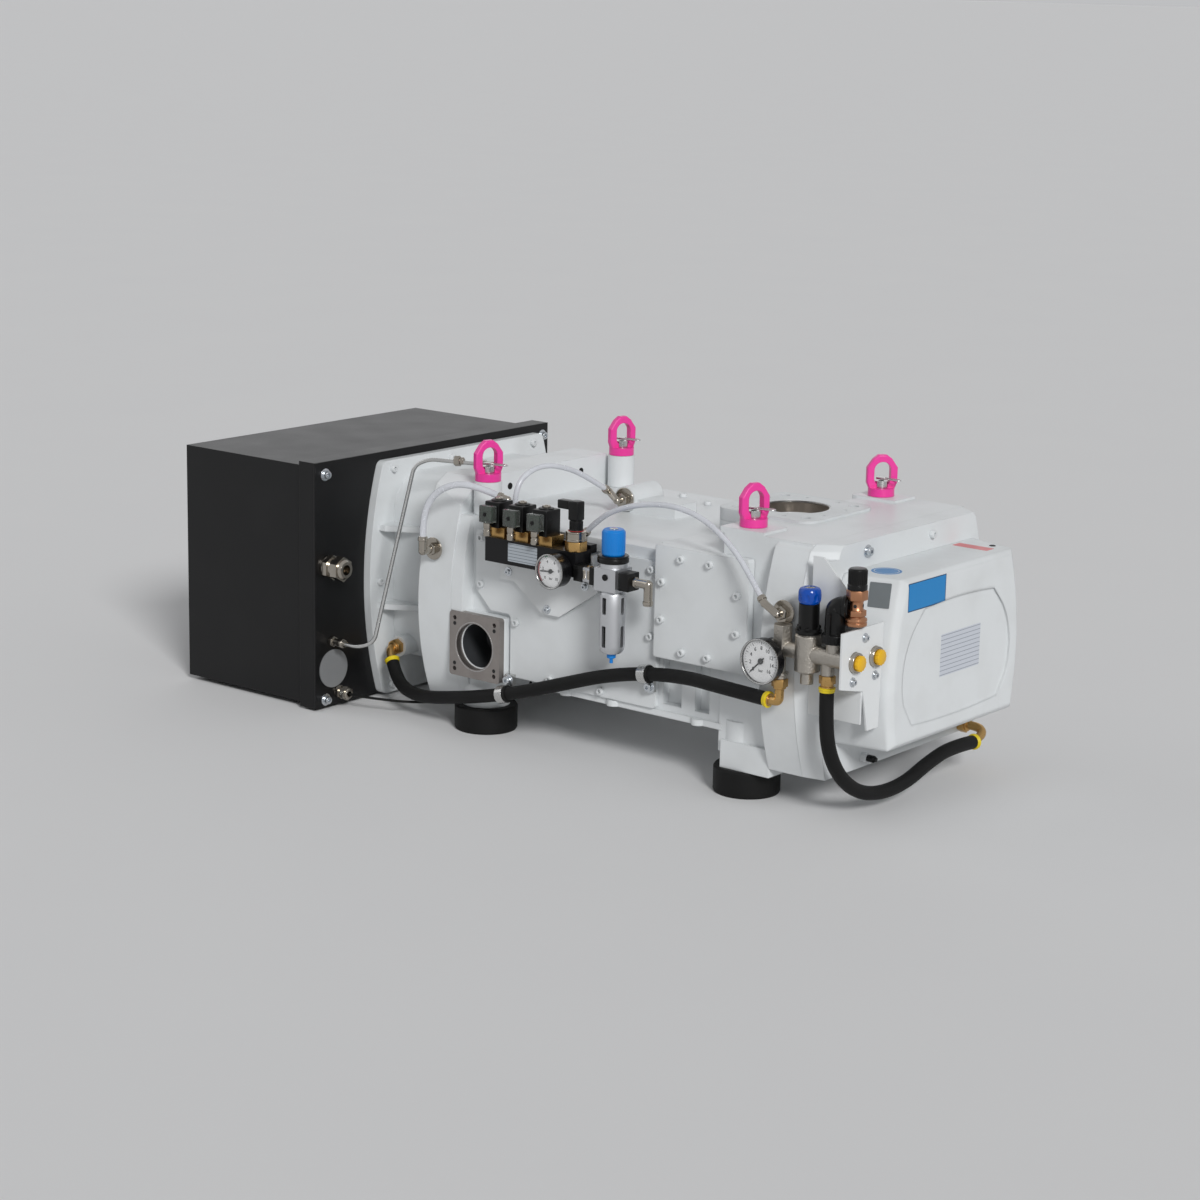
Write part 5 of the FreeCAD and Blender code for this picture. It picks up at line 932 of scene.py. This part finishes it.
# %% [markdown]
# The cover keeps its blue notice as paint, not as a sheet, because it must not stand out past
# the face. A mask over the cover's own coordinates draws it: one where the point is inside the
# notice, none outside. A slightly smaller one leaves a dark border, and another draws the faint
# raised frame in the lower corner. A grey plate, a plug and a sensor's connector sit beside it.

# %% Cover paint with a blue notice
FRONT_FACE = 0.6318
cover = Finish("cover_paint")
forward, across, height = cover.axes()
outward = forward.above(FRONT_FACE)


def patch(low_y, high_y, low_z, high_z):
    return across.within(low_y * MM, high_y * MM) * height.within(low_z * MM, high_z * MM)


notice = patch(-134, -40, 291.5, 331) * outward
border = patch(-132.6, -41.4, 292.9, 329.6) * outward
frame_mark = (patch(76, 118, 104, 139) - patch(78, 116, 106, 137)) * outward
broad, grain = cover.clouds(14, 3), cover.clouds(420)
plain = cover.blend(cover.ramp(broad, 0.45, 0.8), WHITE, GREYED)
tint = cover.blend(border, cover.blend(notice, plain, (0.0, 0.05, 0.14)), (0.0, 0.22, 0.56))
relief = grain * 0.06 + cover.clouds(38) * 0.5 + frame_mark * 1.2
cover.close(Base_Color=tint, Roughness=broad * 0.12 + 0.32 - 0.06 * notice,
            Normal=cover.relief(relief, 0.0005, 0.007))
NODES["end_cover"].data.materials.clear()
NODES["end_cover"].data.materials.append(cover.material)
finished(sticker(30, 34), "grey_plate", "label_grey",
         seat((602.2, -158.2, 315.2), (0.29, -0.9, 0.32)), slot="dull_disc")
finished(turned([(4.6, 0), (4.6, 0.5), (3.4, 0.9), (3.4, 0.3)], 32), "cover_plug",
         "black_plastic", seat((598, 136, 338)))
sensor_at = seat((547, -100, 67), RIGHT)
finished(turned([(6.6, -1), (6.6, 9), (5.4, 10), (4.4, 9.6), (4.2, 6)], 32), "sensor_socket",
         "white_sheet", sensor_at)
finished(turned([(4.1, 5), (4.1, 11), (5.2, 11.6), (5.2, 20), (4.2, 21.4), (3, 24)], 24),
         "sensor_plug", "black_plastic", sensor_at)
print("cover notice and corner frame painted")

# %% [markdown]
# Push-in elbows for air hoses are two short barrels that meet at a sharp corner, with a
# hexagon at the thread and a ring at the hose. Where one is screwed into the body, a bright
# round washer lies under it. Each run of a fitting is one barrel, laid from point to point.


# %% Push-in elbows
def run(start, follower):
    """The place of a piece that lies along the way from one point to the next."""
    return seat(start, Vector(follower) - Vector(start))


def barrel(start, end, radius, lip=0.0):
    length = (Vector(end) - Vector(start)).length
    profile = [(radius - 0.4, 0), (radius, 0.4), (radius, length - 0.4), (radius - 0.4, length)]
    if lip:
        profile = [(radius, 0), (radius, length - 7), (radius + lip, length - 6.4),
                   (radius + lip, length - 3), (radius + lip * 0.4, length - 2.4),
                   (radius + lip * 0.4, length - 0.5), (radius - 0.4, length)]
    return moved(turned(profile, 28), run(start, end))


def push_elbow(points, radius, flats, washer=0.0):
    base = run(*points[:2])
    parts = [moved(hexed(flats, flats * 0.5, 1.0, 2 if washer else 0), base)]
    if washer:
        disc = turned([(washer, 0), (washer, 1.6), (washer - 0.8, 2.2)], 48, 0.2)
        parts.append(moved(disc, base))
    for index, corner in enumerate(points[1:-1]):
        parts += [barrel(points[index], corner, radius), ball(corner, radius * 1.06)]
    return joined(*parts, barrel(*points[-2:], radius, 1.2))


ELBOWS = (
    ([(-155, -212, 276), (-155, -236, 276), (-155, -236, 298)], 6.4, 17, 17),
    ([(-21.3, -199.9, 324), (-21.3, -199.9, 366.1), (-36, -204, 371)], 5.6, 13, 0),
    ([(44, -6, 350), (44, -25, 350), (21.3, -15.8, 359.9), (20, -26, 366)], 5.4, 17, 17),
    ([(121.9, -200.5, 324), (121.9, -200.5, 333.3), (132, -201, 343)], 5.2, 12, 0),
    ([(495, -226, 286), (495, -243, 286), (474.2, -243, 297.5), (466, -241, 306)], 5.4, 17, 17),
    ([(244.2, -236, 290), (270.3, -236, 290), (270.3, -236, 260)], 6.4, 14, 0),
    ([(-7, -201, 324), (-7, -201, 340)], 4.8, 12, 0),
    ([(-342.5, -239.8, 107), (-312.5, -239.8, 107)], 5.6, 15, 0),
    ([(-123, -116.2, 380), (-123, -116.2, 393.8), (-140, -122, 394)], 5.4, 13, 0),
    ([(-60, -92, 97), (-60, -92, 85)], 5.6, 13, 0),
)
tube_nut = moved(hexed(13, 8, 1.0), seat((-324, -239.8, 107), RIGHT))
end_nut = joined(hexed(14, 9, 1.0), turned([(4.6, 9), (5.6, 9.6), (5.6, 14), (4.4, 15)], 24))
moved(end_nut, seat((-181.7, -136, 395.5), (23.1, 8.4, 1.9)))
elbows = joined(*[push_elbow(*facts) for facts in ELBOWS], tube_nut, end_nut)
finished(soften(elbows, 0), "push_elbows", "nickel", stands_for=["nickel_fittings"])
print("elbows:", len(ELBOWS))

# %% [markdown]
# The brass tails of the water hoses are bent tube, so here a curve with a round bevel gives
# the soft turn that two barrels would not. A hexagon sits at the thread, a short neck narrows
# to the tube, and a bead keeps the hose from slipping off. The gauge's stub is made here too.


# %% Brass hose tails
def hose_tail(points, radius, flats, nut_length=11):
    base = run(*points[:2])
    nut = moved(hexed(flats, nut_length, 1.4), base)
    neck = turned([(flats * 0.44, nut_length), (flats * 0.44, nut_length + 2.5),
                   (radius + 0.6, nut_length + 3.6)], 32, 0.2)
    bead = turned([(radius, -4), (radius + 2.4, -3), (radius + 2.4, 0.4), (radius, 1)], 32, 0.3)
    end = seat(points[-1], Vector(points[-1]) - Vector(points[-2]))
    return joined(wire_loop(points, radius, closed=False), nut, moved(neck, base),
                  moved(bead, end))


TAILS = (
    ([(-300.2, -133, 86.6), (-300.2, -143, 86.6), (-300.2, -153.3, 86.6), (-294, -156.7, 79.3),
      (-288, -160, 72)], 6.6, 22),
    ([(502, -240.8, 198), (502, -240.8, 188), (502, -240.8, 176), (502, -240.8, 164.6),
      (493, -240.4, 164.8), (484, -240, 165)], 6.4, 20),
    ([(579, -241, 215.6), (579, -241, 206), (579, -241, 198)], 7, 20),
    ([(547, 158, 63), (566, 158, 63), (580, 158, 63), (590.3, 150, 57), (590.1, 139, 53.5),
      (590, 126, 50)], 6.6, 22),
)
finished(soften(joined(*[hose_tail(*facts) for facts in TAILS]), 0), "brass_tails", "brass",
         stands_for=["brass_fittings"])
finished(turned([(8.4, 0), (9.6, 1), (9.6, 5), (11.4, 6), (11.4, 9), (7.6, 10), (7.6, 31)], 36),
         "gauge_stub", "cast_nickel", seat((502, -240.8, 198)))
print("hose tails:", len(TAILS))

# %% [markdown]
# The strainer elbow is a thick black moulding: a ribbed screw ring below, a stout bend with a
# rib down its back, and a wide ring where it meets the safety valve.

# %% Strainer elbow
STRAINER = (588, -241)
bend = wire_loop([(*STRAINER, 262), (*STRAINER, 284), (*STRAINER, 303), (589.5, -240.5, 311),
                  (597, -238, 312), (606, -235, 312)], 14, closed=False)
rib = moved(boxed((-3, -17.4, -21), (3, -12, 19), 1.0), seat((*STRAINER, 285)))
ring_at = seat((*STRAINER, 261.4))
lower = turned([(15.4, 0), (17.6, 0.8), (17.6, 12), (16, 13.4), (14.6, 14)], 48, 0.3)
grips = repeated(boxed((17.1, -1, 1.6), (18.1, 1, 11.4), 0.4), [ring_at @ s for s in spun(24)])
toward_safety = Vector((27, 9, 0)).normalized()
upper = moved(turned([(14.6, 0), (16, 0.8), (16, 5.4), (14.6, 6.2)], 48, 0.3),
              seat(Vector((*STRAINER, 312)) + 10.5 * toward_safety, toward_safety))
finished(joined(bend, rib, moved(lower, ring_at), grips, upper), "strainer_bend",
         "black_plastic", stands_for=["strainer_elbow"])
print("strainer elbow made")

# %% [markdown]
# Looking into the exhaust one sees a dark duct. A thin liner with a near-black finish paints
# the shade deep in the bore, with a slender funnel round it that is drawn out from a flat ring,
# and a sheet bent to a blunt wedge, in the same painted shade, closes the view. Beside each
# corner hole of the flange there is a second, smaller one, here a shallow black cup that paints
# the shade inside the hole, and a fine groove runs round the bore.

# %% Painted shade in the exhaust duct and flange holes
EXHAUST_X, EXHAUST_Z = -71, 139
LINER_RADIUS, LINER_LENGTH, WEDGE = 33.35, 72.9, 18
liner = joined(ring_plate(LINER_RADIUS, 32.9, 72), ring_plate(34.95, 33, 0.2, sides=64))
for vertex in liner.data.vertices:
    if vertex.co.to_2d().length > (LINER_RADIUS + 0.05) * MM:
        vertex.co.z += LINER_LENGTH * MM
# The duct finish is near black: painted shade for the dark inside of the duct and behind the
# wedge.
moulded("painted_duct_shade", (0.05, 0.053, 0.057), 0.34, 260, 0.0001)
finished(liner, "exhaust_shade_liner", "painted_duct_shade", seat((EXHAUST_X, -130, EXHAUST_Z), NEAR),
         slot="machined_iron")
wedge = joined(boxed((-34, 0, -34), (0.5, 1.2, 34), 0.2),
               boxed((-0.5, 0, -34), (34, 1.2, 34), 0.2))
for vertex in wedge.data.vertices:
    vertex.co.y += WEDGE * MM - abs(vertex.co.x) * 0.5
finished(wedge, "exhaust_shade_baffle", "painted_duct_shade", seat((EXHAUST_X, -150, EXHAUST_Z)),
         slot="machined_iron")
# Each small hole is a shallow black cup: painted shade for the inside of the hole.
cup = turned([(3.0, 0.02), (3.0, 0.25), (2.5, 0.3), (2.2, 0.08)], 20)
cups = [seat((EXHAUST_X + side * 38.9, -214, EXHAUST_Z + top * 30.4), NEAR)
        for side in (-1, 1) for top in (-1, 1)]
finished(repeated(cup, cups), "exhaust_hole_shades", "mark_black", slot="machined_iron")
finished(ring_plate(37.4, 36.4, 0.12), "exhaust_groove", "steel",
         seat((EXHAUST_X, -214, EXHAUST_Z), NEAR))
print("exhaust duct lined")

# %% [markdown]
# The safety valve is red brass: a flared foot with a groove, a hexagon to turn it by, a narrow
# waist with four windows that let the water out, drawn as black discs of painted shade, and a
# hexagon under the black cap. The inlet gets its woven sleeve and a bright lip, and two black
# rubber plugs close holes in the motor neck, their black painted shade for the dark holes.

# %% Safety valve, inlet sleeve and plugs
valve_at = seat((615, -232, 288))
foot = turned([(11, 0), (14.6, 1.2), (14.6, 5), (13.6, 5.6), (13.6, 6.6), (14.6, 7.2),
               (14.6, 10), (11, 13), (10.4, 14)], 48, 0.2)
finished(joined(foot, raised(hexed(23, 8, 1.2), 14),
                turned([(10.6, 21), (9.2, 23), (8.8, 33), (10.4, 35)], 40, 0.3),
                raised(hexed(25.5, 13, 1.4), 35.6),
                turned([(10.8, 48), (12.6, 48.4), (12.6, 49)], 40, 0.1)),
         "safety_body", "bronze", valve_at, stands_for=["safety_valve"])
# The four windows are black discs on the waist: painted shade for the openings.
finished(repeated(turned([(2.4, 0), (2.4, 0.4), (1.6, 0.6)], 16),
                  [valve_at @ quarter @ seat((8.8, 0, 28), RIGHT) for quarter in spun(4, 20)]),
         "safety_window_shades", "mark_black", slot="bronze")
finished(ring_plate(50.9, 50.1, 18), "inlet_sleeve", "woven_wall", seat((*INLET, 359)),
         slot="steel")
finished(ring_plate(50.95, 48.8, 2.4), "inlet_lip", "steel", seat((*INLET, 377)))
# The two plugs are black rubber in the motor neck's holes; their black is painted shade for the
# dark holes.
rubber_plug = turned([(5.2, -0.5), (5.2, 0.6), (4.2, 1.2), (3.2, 0.4)], 24, 0.1)
neck_holes = [seat((-120, -79.8, 357.8), RIGHT), seat((-120, 89.8, 359), RIGHT)]
finished(repeated(rubber_plug, neck_holes), "neck_shade_plugs", "rubber_black")
print("safety valve, inlet sleeve and neck plugs made")
